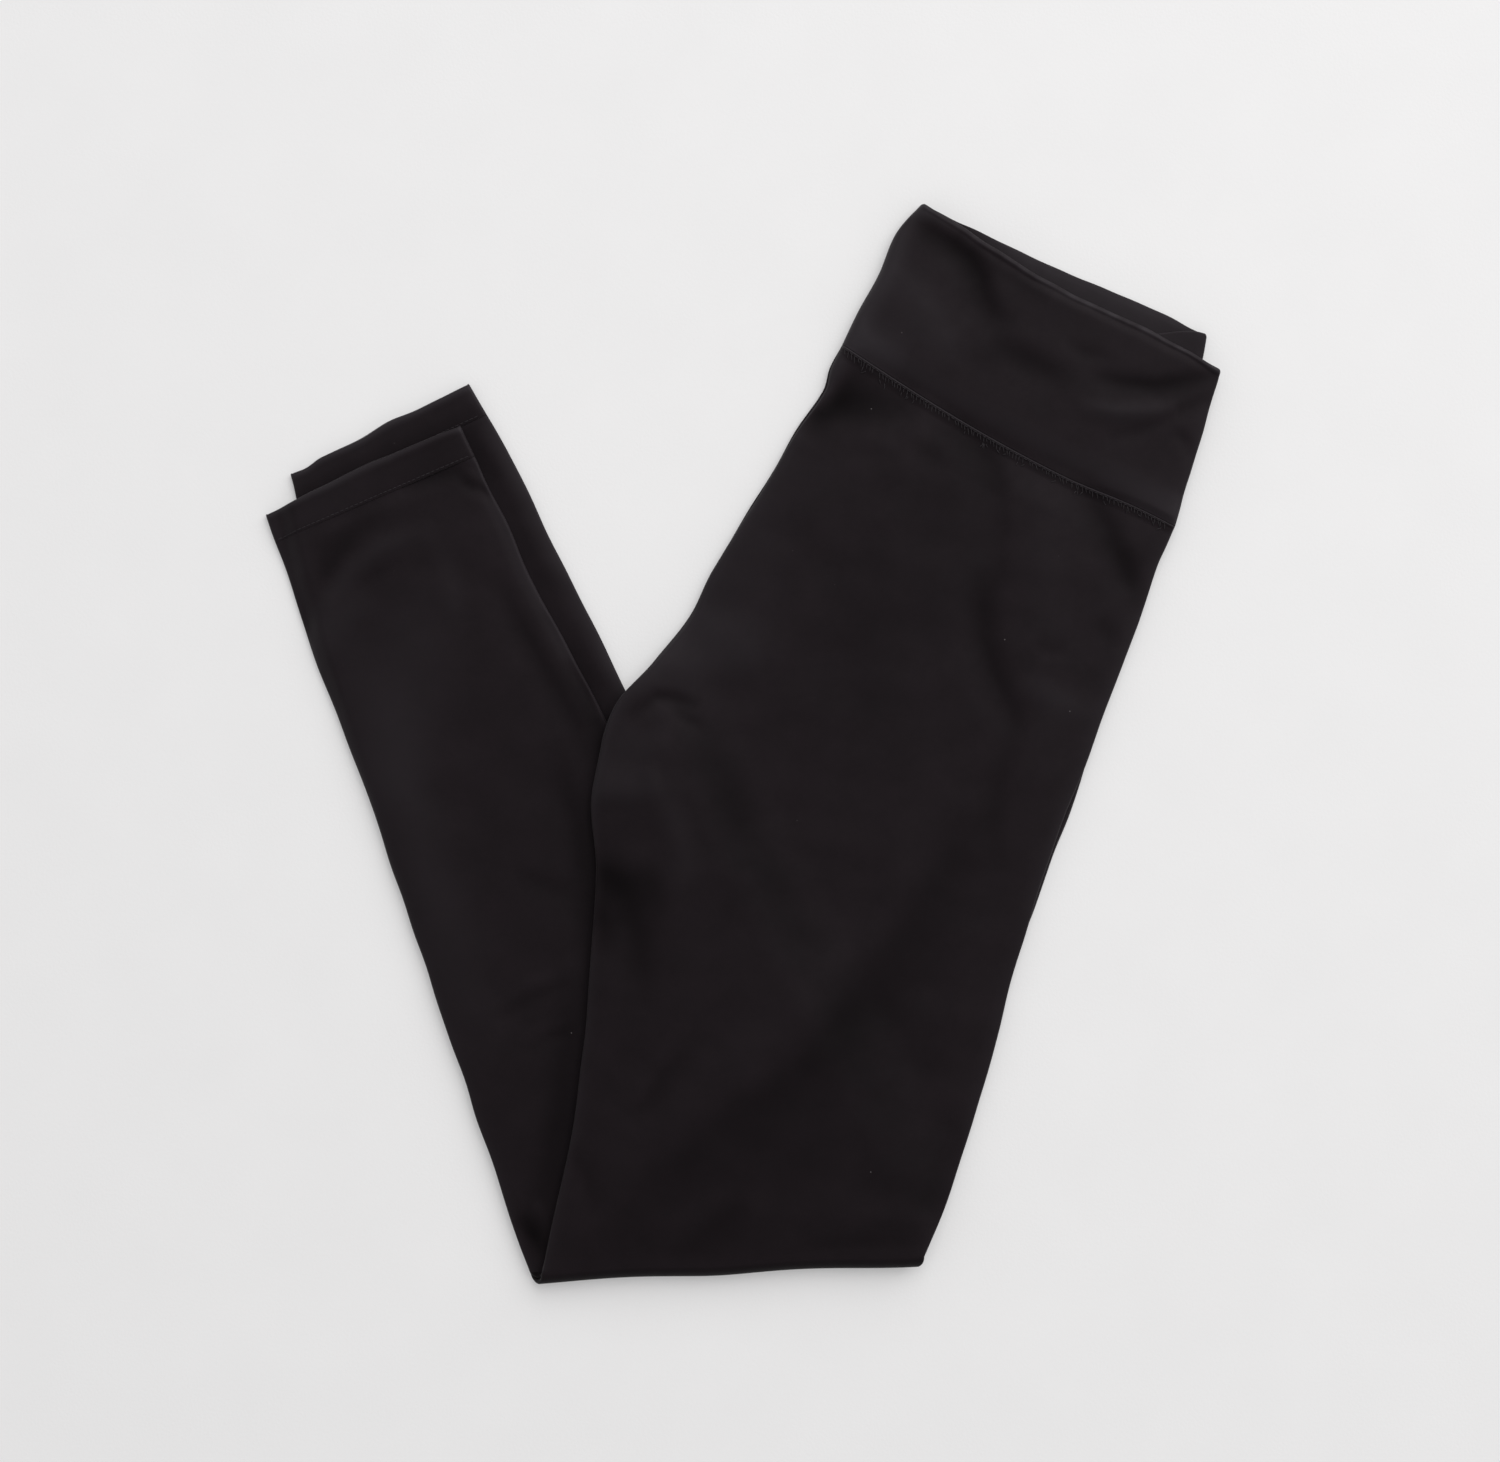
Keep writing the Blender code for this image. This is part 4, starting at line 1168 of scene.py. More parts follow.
class Leg:
    """One leg, folded at the knee: its thigh lies over its shin."""

    bend_steps = 14
    thigh_step = 2.3 * MM
    shin_step = 2.7 * MM
    inner_stride = 4
    near_seam = np.array([0.0, 0.1, 0.3, 0.6, 0.9, 1.3, 1.8, 2.5, 3.4, 4.4, 5.2, 6.0, 7.2]) * MM
    near_hem = np.array([4.5, 3.2, 2.0, 1.0, 0.1, 0.0]) * MM
    hem_shares = (0.0, 0.007, 0.03, 0.07, 0.14, 0.22, 0.32, 0.44, 0.56, 0.68, 0.79, 0.88, 0.95, 1.0)
    hem_stitch_depth = 1.2 * MM
    hem_stitch_pitch = 2.6 * MM
    hem_stitch_length = 2.2 * MM
    hem_stitch_start = 2 * MM
    hem_stitch_rise = 0.06 * MM

    def __init__(self, side: Side, shin_table: dict[str, ShinLine], is_top: bool):
        """Takes the leg's side, its shin's cross lines and whether it lies on the other leg."""
        self.side = side
        self.is_top = is_top
        self.thigh = Track(THIGH)
        self.shin = Track(shin_table)
        self.shin_end = self.shin.length - CLOTH.hem_depth
        self.loop = TubeLoop(*((96, 36) if is_top else (40, 96)))
        self.bend_radius = CLOTH.pitch * (1.5 if is_top else 0.5)
        self.bend_length = math.pi * self.bend_radius
        self.crotch = self.thigh.places[list(THIGH).index("crotch point")]
        self.thighs_edge = self.thigh.edge(0)
        self.lowest_inner_edge = Track(TOP_LEG_SHIN).edge(0)
        self.lowest_outer_edge = Track(TOP_LEG_SHIN).edge(2)
        self.upper_outer_edge = Track(UNDER_LEG_SHIN).edge(2)
        self.thigh_creases = CreaseField(THIGH_CREASES)
        self.shin_creases = CreaseField(LOWEST_SHIN_CREASES if is_top else SHIN_CREASES)
        seed = 3 if is_top else 8
        self.ripple = Ripple(seed, 0.16 * MM, 18 * MM, 80 * MM)
        self.edge_ripple = Ripple(seed + 1, 0.25 * MM, 25 * MM, 70 * MM)

    def surface(self, width: float, tube: float, inset: float, sewn: float = 0.0) -> Surface:
        """Gives a ring of places on the tube's outside, or inset into its wall."""
        radius = tube / 2 - inset
        across, off = self.loop.outline(width, radius, inset, sewn, -1 if self.is_top else 1)
        return Surface(across, off, radius)

    def laid(
        self,
        line: CrossLine,
        across: Array,
        distance: float,
        shift: Array,
        spread: Value = 0.0,
    ) -> Array:
        """Gives the places of a flattened tube's points, its edges kept from running too true.

        Args:
            line: across the tube.
            across: how far from the line's inner end they lie.
            distance: along the tube from where its edges are held.
            shift: how far they are moved square to the line.
            spread: how far they are moved along it.

        Returns:
            An (n, 2) array.
        """
        places = line.points(across + spread, shift)
        wander = self.edge_ripple.at(places) * (1 - rim_fade(across, line.width, LAY.wander_reach))
        return places + (wander * smooth(0, LAY.wander_start, distance))[:, None] * line.along

    # -- the thigh --

    def thigh_tube(self, distance: float) -> float:
        """Gives the thigh's thickness, which falls off below the waist seam."""
        share = smooth(0, CLOTH.waist_tube_fade, distance)
        return mixed(CLOTH.waist_tube, CLOTH.tube, share)

    def thigh_base(self, places: Array, distance: float) -> Array:
        """Gives the height of the thigh's underside at (n, 2) places."""
        past, _ = past_path(places, self.lowest_outer_edge)
        on_shins = 2 * CLOTH.pitch * fall(LAY.drape_start, LAY.drape_end, past)
        return on_shins + (self.thigh_tube(distance) + CLOTH.layer_gap if self.is_top else 0.0)

    def thigh_points(self, distance: float, spot: Surface) -> Array:
        """Gives the places of points of the thigh.

        Args:
            distance: below the waist seam, along the thigh.
            spot: where they lie in the tube.

        Returns:
            An (n, 3) array.
        """
        line, across = self.thigh.line(distance), spot.across
        left = self.thigh.length - distance
        share = np.clip(across / line.width, 0, 1)
        shift = seam_wave(share) * fall(0, LAY.seam_sag_length, distance)
        shift += knee_wave(share) * fall(0, LAY.knee_wave_length, left)
        spread = np.zeros_like(across)
        if not self.is_top:
            under_in, under_out, under_up = self.thigh.at(distance)[4:]
            shift += under_up * share
            spread += under_out * fall(0, LAY.edge_shift_reach, line.width - across)
            spread -= under_in * fall(0, LAY.edge_shift_reach, across)
        places = self.laid(line, across, distance, shift, spread)
        height = self.thigh_base(places, distance) + self.thigh_tube(distance) / 2 + spot.off
        if self.is_top:
            ends = smooth(0, LAY.end_fade, distance) * smooth(0, LAY.end_fade, left)
            low_ends = smooth(0, LAY.soft_rim, distance) * smooth(0, LAY.knee_fade, left)
            soft = self.thigh_creases.relief(places) * low_ends + self.ripple.at(places) * ends
            lift = settle(soft_lift(across, line.width, LAY.thigh_puff * ends, soft))
            height += (lift + self.seam_relief(distance)) * spot.towards(1)
        return np.column_stack([places, height])

    def thigh_painted_shading(self, points: Array, spot: Surface, distance: float) -> Array:
        """Paints shade into the thigh's creases and ladder, and a highlight onto the seam's roll."""
        tone = np.zeros(len(points))
        if self.is_top:
            creases = self.thigh_creases.tone(points[:, :2]) * smooth(0, LAY.soft_rim, distance)
            tone += creases * spot.towards(1)
        ladder = smooth(*LAY.ladder_start, distance) * fall(*LAY.ladder_end, distance)
        return tone + LAY.roll_highlight.at(distance) + LAY.ladder_shade * ladder

    @staticmethod
    def seam_relief(distance: float) -> float:
        """Gives the rolled edge beside the waist seam and the turnings under the coverstitch."""
        turnings = LAY.seam_turnings * fall(*LAY.turnings_end, distance)
        return LAY.seam_roll.at(distance) + turnings

    # -- the knee --

    def bend_points(self, turn: float, spot: Surface) -> Array:
        """Gives points of the knee fold, at a turn from 90 degrees on the thigh to -90 past it."""
        mix = (1 - math.sin(turn)) / 2
        ends = mixed(self.thigh.at(self.thigh.length)[:4], self.shin.at(0.0), mix)
        line = CrossLine(ends[:2], ends[2:])
        reach = self.bend_radius + spot.off
        shift = knee_wave(spot.across / line.width) - reach * math.cos(turn)
        height = 1.5 * CLOTH.pitch + CLOTH.tube / 2 + reach * math.sin(turn)
        return np.column_stack([line.points(spot.across, shift), height])

    # -- the shin --

    def shin_tube(self, distance: float) -> float:
        """Gives the shin's thickness, which grows to the hem's where they meet."""
        share = fall(0, 5 * MM, self.shin_end - distance)
        return mixed(CLOTH.tube, self.hem_thickness(0.0), share)

    def shin_base(self, places: Array, distance: float) -> Array:
        """Gives the height of the shin's underside: the top leg's is the lowest layer."""
        if self.is_top:
            return np.zeros(len(places))
        near_hem = fall(CLOTH.hem_depth, 3 * CLOTH.hem_depth, self.shin.length - distance)
        over_hem = (CLOTH.hem_tube - CLOTH.tube) * near_hem
        past, _ = past_path(places, self.lowest_inner_edge)
        return (CLOTH.pitch + over_hem) * fall(LAY.droop_start, LAY.droop_end, -past)

    def shin_points(self, distance: float, spot: Surface) -> Array:
        """Gives the places of points of the shin, at a distance past the knee."""
        line, across = self.shin.line(distance), spot.across
        wave = knee_wave(across / line.width) * fall(0, LAY.knee_wave_length, distance)
        places = self.laid(line, across, distance, wave)
        bare = smooth(LAY.drape_start, 2 * LAY.rim, past_path(places, self.thighs_edge)[0])
        if self.is_top:
            past, _ = past_path(places, self.upper_outer_edge)
            bare *= smooth(LAY.drape_start, LAY.bare_end, past)
        above_hem = smooth(0, LAY.rim, self.shin_end - distance)
        soft = self.shin_creases.relief(places) + self.ripple.at(places) * above_hem
        lift = settle(soft_lift(across, line.width, LAY.shin_puff * above_hem, soft) * bare)
        height = self.shin_base(places, distance) + self.shin_tube(distance) / 2 - spot.off
        return np.column_stack([places, height + lift * spot.towards(-1)])

    def shin_painted_shading(self, points: Array, spot: Surface) -> Array:
        """Gives the shin's painted shading: painted shade in its creases."""
        return self.shin_creases.tone(points[:, :2]) * spot.towards(-1)

    # -- the shell --

    def ring_at(self, travel: float, inset: float) -> Ring:
        """Gives the ring at a travel from the waist seam round the knee."""
        if travel < self.thigh.length:
            width = self.thigh.line(travel).width
            sewn = fall(self.crotch - LAY.sewn_fade, self.crotch, travel)
            spot = self.surface(width, self.thigh_tube(travel), inset, sewn)
            points = self.thigh_points(travel, spot)
            # The folded edges get a painted highlight, stronger on the rise than on the inseam.
            below = smooth(self.crotch - LAY.highlight_fade, self.crotch + LAY.highlight_fade, travel)
            inner = mixed(LAY.rise_highlight, LAY.inseam_highlight, below)
            highlights = inner, mixed(LAY.side_highlight, LAY.low_side_highlight, below)
            tone = self.thigh_painted_shading(points, spot, travel) + painted_edge_highlight(spot.across, width, highlights)
        elif travel < self.thigh.length + self.bend_length:
            turn = np.pi * (0.5 - (travel - self.thigh.length) / self.bend_length)
            width = self.thigh.line(self.thigh.length).width
            spot = self.surface(width, CLOTH.tube, inset)
            points = self.bend_points(turn, spot)
            # Painted shade on the knee fold's outer face.
            tone = np.full(len(points), -LAY.knee_shade * max(0.0, math.cos(turn)) ** 0.7)
        else:
            distance = travel - self.thigh.length - self.bend_length
            width = self.shin.line(distance).width
            spot = self.surface(width, self.shin_tube(distance), inset)
            points = self.shin_points(distance, spot)
            # Painted shade in the shin's creases and a painted highlight along its edges.
            tone = self.shin_painted_shading(points, spot) + painted_edge_highlight(spot.across, width, LAY.shin_highlight)
        side_shift = 2.0 * (inset > 0)
        cloth = np.column_stack([width - spot.across + side_shift, np.full(len(points), travel)])
        return Ring(points, cloth, tone)

    @property
    def travels(self) -> Array:
        """The travels of all rings, from the waist seam to the hem's seam."""
        gap = CLOTH.seam_gap / 2 + CLOTH.sewn_bulge * CLOTH.wall / 2
        seam = gap + self.near_seam
        steps = int(self.thigh.length / self.thigh_step)
        thigh = np.linspace(seam[-1] + self.thigh_step, self.thigh.length, steps)[:-1]
        bend = self.thigh.length + self.bend_length * np.linspace(0, 1, self.bend_steps)
        end = self.shin_end - gap
        hem = end - self.near_hem
        shin = np.linspace(0, hem[0], int(end / self.shin_step))[1:-1]
        return np.concatenate([seam, thigh, bend, np.append(shin, hem) + bend[-1] + 1e-7])

    def build(self, material: Material) -> Object:
        """Builds the leg's hollow shell."""
        few = self.travels[:: self.inner_stride]
        if few[-1] != self.travels[-1]:
            few = np.append(few, self.travels[-1])
        outside = [self.ring_at(travel, 0.0) for travel in self.travels]
        inside = [self.ring_at(travel, CLOTH.wall) for travel in few[::-1]]
        name, bulge = f"{self.side.value}_leg_cloth", CLOTH.sewn_bulge
        return ClothShell(name, outside, inside, self.loop.half, bulge, bulge).build(material)

    @property
    def cut_area(self) -> float:
        """The area that the leg is cut to, all round."""
        return self.thigh.cut_area(0, self.thigh.length) + self.shin.cut_area(0, self.shin_end)

    # -- the hem --

    def hem_points(self, distance: float, share: float, spot: Surface) -> Array:
        """Gives points of the hem: share is 0 at its seam and 1 at its mouth."""
        line, across = self.shin.line(distance), spot.across
        middle = dome(across, line.width) ** 2
        bow = LAY.hem_bow * (1 + 0.5 * spot.towards(1)) * middle * share
        bow += rounded(across, line.width, LAY.hem_corner) * smooth(0.7, 1.0, share)
        if self.is_top:
            bow += sum(hollow.at(across / line.width) for hollow in LAY.hem_hollows) * share
        places = self.laid(line, across, distance, bow)
        wave = self.edge_ripple.at(places * 1.7) * share * 0.8
        places = places + wave[:, None] * line.up
        gape = LAY.hem_gape * middle * share + np.abs(self.ripple.at(places)) * share * 0.7
        height = self.shin_base(places, distance) + CLOTH.hem_tube / 2 - spot.off
        height += spot.towards(-1) * (gape + LAY.hem_roll.at(share))
        return np.column_stack([places, height])

    def hem_painted_shading(self, part: Array, share: float) -> Array:
        """Gives the hem's painted shading: highlight at its mouth, shade at its seam and outer end.
        """
        painted_light = 0.12 + sum(bell.at(share) for bell in LAY.hem_painted_light)
        shade = 0.4 * smooth(0.35, 0.95, part)
        if self.is_top:
            painted_light += 0.25 * smooth(0.7, 1.0, share) - 0.25 * fall(0.2, 0.7, share)
            shade *= 0.4
        return painted_light - shade

    def hem_ring(self, share: float, inset: float) -> Ring:
        """Gives the hem's ring at a share of its depth."""
        gap = CLOTH.seam_gap / 2 + CLOTH.sewn_bulge * CLOTH.hem_wall / 4
        distance = mixed(self.shin_end + gap, self.shin.length, share)
        width = self.shin.line(distance).width
        spot = self.surface(width, self.hem_thickness(share), inset)
        cloth = np.column_stack([width - spot.across, np.full(len(spot.across), distance)])
        tone = self.hem_painted_shading(spot.across / width, share)
        tone += painted_edge_highlight(spot.across, width, LAY.shin_highlight)
        side_shift = 2.0 if inset else 1.0
        return Ring(self.hem_points(distance, share, spot), cloth + side_shift, tone)

    def build_hem(self, material: Material) -> Object:
        """Builds the turned-up hem: a flattened double ring, a little open at its mouth."""
        outside = [self.hem_ring(share, 0.0) for share in self.hem_shares]
        inside = [self.hem_ring(share, CLOTH.hem_wall) for share in self.hem_shares[::-1]]
        name, bulge = f"{self.side.value}_hem_cloth", CLOTH.sewn_bulge / 2
        return ClothShell(name, outside, inside, self.loop.half, 1.0, bulge).build(material)

    @staticmethod
    def hem_thickness(share: float) -> float:
        """Gives the flattened hem's thickness at a share of its depth, drawn in by its stitches."""
        return CLOTH.hem_tube + LAY.hem_pinch.at(share)

    def hem_stitches(self, stitch: Stitch, thread: Material) -> Object:
        """Builds the row of stitches that holds the hem up, on both sides of the leg."""
        share = self.hem_stitch_depth / CLOTH.hem_depth
        place = self.shin_end + self.hem_stitch_depth
        width = self.shin.line(place).width
        number = int((width - 2 * self.hem_stitch_start) / self.hem_stitch_pitch)
        begin = self.hem_stitch_start + np.arange(number) * self.hem_stitch_pitch
        radius = self.hem_thickness(share) / 2

        def row(facing: Facing, part: float) -> Array:
            """Gives the places at a part of the stitches' length, on one side of the leg."""
            off = np.full(number, -facing.value * radius)
            spot = Surface(begin + part * self.hem_stitch_length, off, radius)
            points = self.hem_points(place, share, spot)
            points[:, 2] += facing.value * self.hem_stitch_rise * math.sin(math.pi * part)
            points[:, 2] = np.maximum(points[:, 2], CLOTH.thread_low)
            return points

        lines = [stitch.run(lambda part, side=facing: row(side, part)) for facing in Facing]
        return stitch.sew(f"{self.side.value}_hem_stitches", np.concatenate(lines), thread)


# ---- The waistband ----


class BandSpots(NamedTuple):
    """Places round the doubled waistband's hairpin outline.

    half is 1 on the top half and -1 on the under half. share is 0 where the halves bend into each
    other and 1 at the side, and inset is added to it along the band. height is off the plane
    between the halves. facing is 1 on walls that face out and 0 on those that face each other.
    """

    half: Array
    share: Array
    inset: Array
    height: Array
    facing: Array


class Waistband:
    """The doubled ring of the waistband, bent round the centre seam like a hairpin."""

    columns = 110
    hidden_columns = 48
    rows = 48
    turn_steps = 7
    rim_steps = 5
    seam_free = 4 * MM
    top_free = 5 * MM
    groove = Bell(-0.6 * MM, 0.0, 2.6 * MM)
    # Painted shade in the groove above the seam and painted light just above that.
    groove_shade = Bell(-0.65, 0.0, 2.4 * MM)
    groove_glow = Bump(0.34, 9 * MM, 8 * MM)
    groove_places = (Bump(0.55, 0.37, 0.13), Bump(0.65, 0.78, 0.13))
    top_roll = Bell(0.9 * MM, 1.8 * MM, 1.3 * MM)
    # Painted highlights on the top edge, along the fold and in the band's mouth.
    rim_highlight = Bell(1.0, 1.3 * MM, 1.7 * MM)
    fold_highlight = Bell(0.6, 0.012, 0.035)
    mouth_highlight = Bell(0.4, 0.0, 3.5 * MM)
    mouth_lift = 0.25 * MM

    def __init__(self) -> None:
        """Reads the band's table and draws its waves."""
        self.track = Track(BAND)
        self.half_pitch = (CLOTH.band_tube + CLOTH.layer_gap) / 2
        self.fold_height = CLOTH.band_tube + CLOTH.layer_gap / 2
        self.creases = CreaseField(BAND_CREASES)
        self.ripple = Ripple(21, 0.25 * MM, 26 * MM, 90 * MM)
        self.edge_ripple = Ripple(23, 0.22 * MM, 14 * MM, 50 * MM)

    def spots(self, radius: float) -> BandSpots:
        """Gives the places round the hairpin, at a distance off its middle line."""
        top_shares = np.linspace(0, 1, self.columns + 1)
        shares = np.linspace(0, 1, self.hidden_columns + 1)
        outer, inner = self.half_pitch + radius, self.half_pitch - radius
        turns = np.linspace(-np.pi / 2, np.pi / 2, self.turn_steps + 2)[1:-1]
        out, rise = np.cos(turns), np.sin(turns)
        side = np.where(turns >= 0, 1.0, -1.0)
        parts = [
            (1.0, top_shares[::-1], 0.0, outer, 1.0),
            (side[::-1], 0.0, -outer * out, outer * rise[::-1], 1.0),
            (-1.0, shares, 0.0, -outer, 1.0),
            (-1.0, 1.0, radius * out, radius * rise - self.half_pitch, (1 - rise) / 2),
            (-1.0, shares[::-1], 0.0, -inner, 0.0),
            (side, 0.0, -inner * out, inner * rise, 0.0),
            (1.0, shares, 0.0, inner, 0.0),
            (1.0, 1.0, radius * out, radius * rise + self.half_pitch, (1 + rise) / 2),
        ]
        columns = zip(*(np.broadcast_arrays(*part) for part in parts))
        return BandSpots(*(np.concatenate(column) for column in columns))

    def wave(self, share: Array, level: Array, top: Array) -> Array:
        """Gives how far the band's cross lines leave their straight way, towards the top edge."""
        under = LAY.under_edge_sag.at(share) + LAY.under_edge_rise.at(share)
        edge = np.where(top, LAY.top_edge_sag.at(share), under)
        return seam_wave(share) * (1 - level) + edge * level

    def ring_at(self, level: float, radius: float) -> Ring:
        """Gives the ring at a level, from 0 at the seam to 1 at the top edge."""
        spots = self.spots(radius)
        dip = LAY.front_dip / self.track.length * fall(LAY.dip_start, 1.0, spots.share)
        levels = level * (1 - dip * (1 - spots.facing))
        start = CLOTH.seam_gap / 2 + CLOTH.sewn_bulge * CLOTH.band_wall / 2
        distances = mixed(start, self.track.length - CLOTH.band_wall / 2, levels)
        table = {d: self.track.at(d) for d in np.unique(distances)}
        rows = np.array([table[d] for d in distances])
        top = spots.half > 0
        span = np.where(top[:, None], rows[:, 2:4], rows[:, 4:6]) - rows[:, :2]
        width = np.hypot(span[:, 0], span[:, 1])
        along = span / width[:, None]
        up = np.stack([-along[:, 1], along[:, 0]], axis=1)
        bend = self.half_pitch + CLOTH.band_tube / 2
        across = bend + (width - CLOTH.band_tube / 2 - bend) * spots.share + spots.inset
        share = np.clip(across / width, 0, 1)
        shift = self.wave(share, levels, top)
        shift -= rounded(across, width, LAY.corner) * smooth(0.9, 1.0, levels)
        places = rows[:, :2] + across[:, None] * along + shift[:, None] * up
        near_top = smooth(0.75, 1.0, levels)
        places += (self.edge_ripple.at(places + spots.half[:, None] * 0.3) * near_top)[:, None] * up
        near_side = fall(0, LAY.wander_start, width - across) * smooth(0, 0.2, levels)
        wander = self.edge_ripple.at(places * 0.8 + 0.7) * near_side * 0.7
        places += wander[:, None] * along
        on_top = (top & (spots.facing > 0.5)) * (spots.height - self.half_pitch) / radius
        height = self.fold_height + spots.height
        height += self.lift(places, across, width, distances) * np.clip(on_top, 0, 1)
        height += self.under_lift(share, levels, spots)
        cloth = np.column_stack([width * spots.share + spots.facing * 0.4, distances + 1.5])
        # Painted shade and highlights, halved on the under half; facing walls get a painted
        # highlight at the mouth.
        tone = self.tone(places, across / width, distances)
        tone += painted_edge_highlight(across, width, LAY.band_highlight)
        tone *= spots.facing * np.where(top, 1.0, 0.5)
        in_slit = radius < CLOTH.band_slit
        tone += self.mouth_painted_highlight(share, distances) * (1 - spots.facing * (not in_slit))
        return Ring(np.column_stack([places, np.maximum(height, 0.0)]), cloth, tone)

    def tone(self, places: Array, share: Array, distance: Array) -> Array:
        """Gives the band's painted shading: shade in creases and the seam's groove, a highlight on
        the top edge.
        """
        left = self.track.length - distance
        creases = self.creases.tone(places) * smooth(0, self.seam_free, left)
        groove = self.groove_depth(share) * self.groove_shade.at(distance)
        groove += self.groove_glow.at(distance)
        # An uneven strength for the painted highlight along the top edge.
        painted_light = np.clip(0.62 + 900 * self.edge_ripple.at(places * 2.5), 0.25, 1.0)
        rim = painted_light * self.rim_highlight.at(left) * (0.45 + 0.65 * smooth(0.2, 0.5, share))
        return creases + groove + rim + self.fold_highlight.at(share)

    def mouth_painted_highlight(self, share: Array, distance: Array) -> Array:
        """Gives the painted highlight on the walls that face each other, where the band's mouth is.
        """
        left = self.track.length - distance
        highlight = 0.6 * fall(10 * MM, 30 * MM, left) + self.mouth_highlight.at(left)
        return highlight * smooth(0.1, 0.4, share) * (1 - 0.4 * smooth(0.8, 0.95, share))

    def groove_depth(self, share: Array) -> Array:
        """Gives how deep the groove above the seam is, as a share: it comes and goes."""
        return 0.06 + sum(place.at(share) for place in self.groove_places)

    def lift(self, places: Array, across: Array, width: Array, distance: Array) -> Array:
        """Gives what puff, creases and the seam's pull add to the band's upper wall."""
        left = self.track.length - distance
        puff = LAY.band_puff * smooth(0, 2 * LAY.rim, distance) * smooth(0, LAY.rim, left)
        low_ends = smooth(0, self.seam_free, distance) * smooth(0, self.top_free, left)
        soft = (self.creases.relief(places) + self.ripple.at(places)) * low_ends
        lift = settle(soft_lift(across, width, puff, soft))
        groove = self.groove_depth(across / width) * self.groove.at(distance)
        return lift + groove + self.top_roll.at(left)

    def under_lift(self, share: Array, levels: Array, spots: BandSpots) -> Array:
        """Lifts the side end of the under half's inner wall a little, where its mouth shows."""
        inner_wall = (spots.half < 0) & (spots.facing < 0.5)
        return self.mouth_lift * smooth(0.8, 0.95, share) * smooth(0.9, 1.0, levels) * inner_wall

    def build(self, material: Material) -> Object:
        """Builds the band's hollow shell."""
        near_seam, near_top = np.linspace(0, 0.05, 8)[1:-1], np.linspace(0.955, 1, 12)[1:]
        middle = np.linspace(0.05, 0.955, self.rows)
        levels = np.concatenate([[0, 0.0015], near_seam, middle, near_top])
        inner_levels = levels[::-2] if len(levels) % 2 else np.append(levels[::-2], 0.0)
        outside = [self.ring_at(level, CLOTH.band_tube / 2) for level in levels]
        inside = [self.ring_at(level, CLOTH.band_slit / 2) for level in inner_levels]
        half = len(outside[0].points)
        return ClothShell(
            "waistband_cloth", outside, inside, half, 1.0, CLOTH.sewn_bulge, self.rim_steps
        ).build(material)

    @property
    def flat(self) -> Pair:
        """The band's length round the waist and its height, as sewn from its doubled cut."""
        length = self.track.length
        return 2 * self.track.cut_area(0, length) / length, length


class WaistSeam:
    """The seam of the waistband and the legs: a ladder of threads and loose fibres beside it."""

    pitch = 1.85 * MM
    near = 1.3 * MM
    far = 4.0 * MM
    slant = 1.2 * MM
    margin = 2.5 * MM
    missing = 0.12
    needle_length = 2.3 * MM
    needle_gap = 0.3 * MM
    stray_count = 26
    stray_margin = 6 * MM

    def __init__(self, leg: Leg, facing: Facing, seed: int):
        """Takes the leg that it runs along, the way its wall faces and a seed for the draws."""
        self.leg = leg
        self.facing = facing
        self.draw = np.random.default_rng(seed)
        self.width = leg.thigh.line(self.near).width

    def wall_points(self, across: Array, distance: float, proud: float) -> Array:
        """Gives points on the leg's wall, so far from the seam and so far proud of the cloth."""
        radius = self.leg.thigh_tube(distance) / 2
        spot = Surface(across, np.full(len(across), self.facing.value * radius), radius)
        points = self.leg.thigh_points(distance, spot)
        points[:, 2] = np.maximum(points[:, 2] + self.facing.value * proud, CLOTH.thread_low)
        return points

    def rungs(self) -> Array:
        """Gives the slanting threads of the ladder."""
        number = int((self.width - 2 * self.margin) / self.pitch)
        uneven = np.arange(number) + self.draw.uniform(-0.16, 0.16, number)
        begin = self.margin + uneven * self.pitch
        lean = self.slant + self.draw.uniform(-0.7, 0.7, number) * MM
        ends = self.far + self.draw.uniform(-0.9, 0.5, number) * MM
        kept = self.draw.random(number) > self.missing

        def rung(place: float, reach: float, far: float) -> Array:
            """Gives one thread's line."""
            return Stitch.run(
                lambda part: self.wall_points(
                    np.array([place + reach * part]),
                    mixed(self.near, far, part),
                    0.22 * MM * math.sin(math.pi * part) - 0.02 * MM,
                )
            )

        return np.concatenate([rung(*one) for one in zip(begin[kept], lean[kept], ends[kept])])

    def needle_row(self) -> Array:
        """Gives the short stitches along the ladder's upper side."""
        length = self.needle_length
        pitch = length + self.needle_gap
        begin = self.margin + np.arange(int((self.width - 2 * self.margin) / pitch)) * pitch
        return Stitch.run(
            lambda part: self.wall_points(
                begin + part * length, self.near, 0.1 * MM * math.sin(math.pi * part)
            )
        )

    def stray(self, begin: float) -> Array:
        """Draws one loose fibre that stands off beneath the ladder."""
        reach, turn = self.draw.uniform(1.4, 3.2) * MM, self.draw.uniform(0.3, 2.4)
        bend, start = self.draw.uniform(-0.8, 0.8), self.draw.uniform(3.4, 4.6) * MM
        return Stitch.run(
            lambda part: self.wall_points(
                np.array([begin + reach * part * math.cos(turn + bend * part)]),
                start + reach * part * math.sin(turn + bend * part),
                0.3 * MM * math.sin(math.pi * (0.15 + 0.8 * part)),
            )
        )

    def build(self, stitch: Stitch, thread: Material) -> Object:
        """Builds the seam's threads."""
        rungs = self.rungs()
        ends = self.stray_margin, self.width - self.stray_margin
        strays = [self.stray(begin) for begin in self.draw.uniform(*ends, self.stray_count)]
        lines = np.concatenate([rungs, self.needle_row(), *strays])
        return stitch.sew(f"{self.leg.side.value}_waist_stitches", lines, thread)


# ---- The studio ----


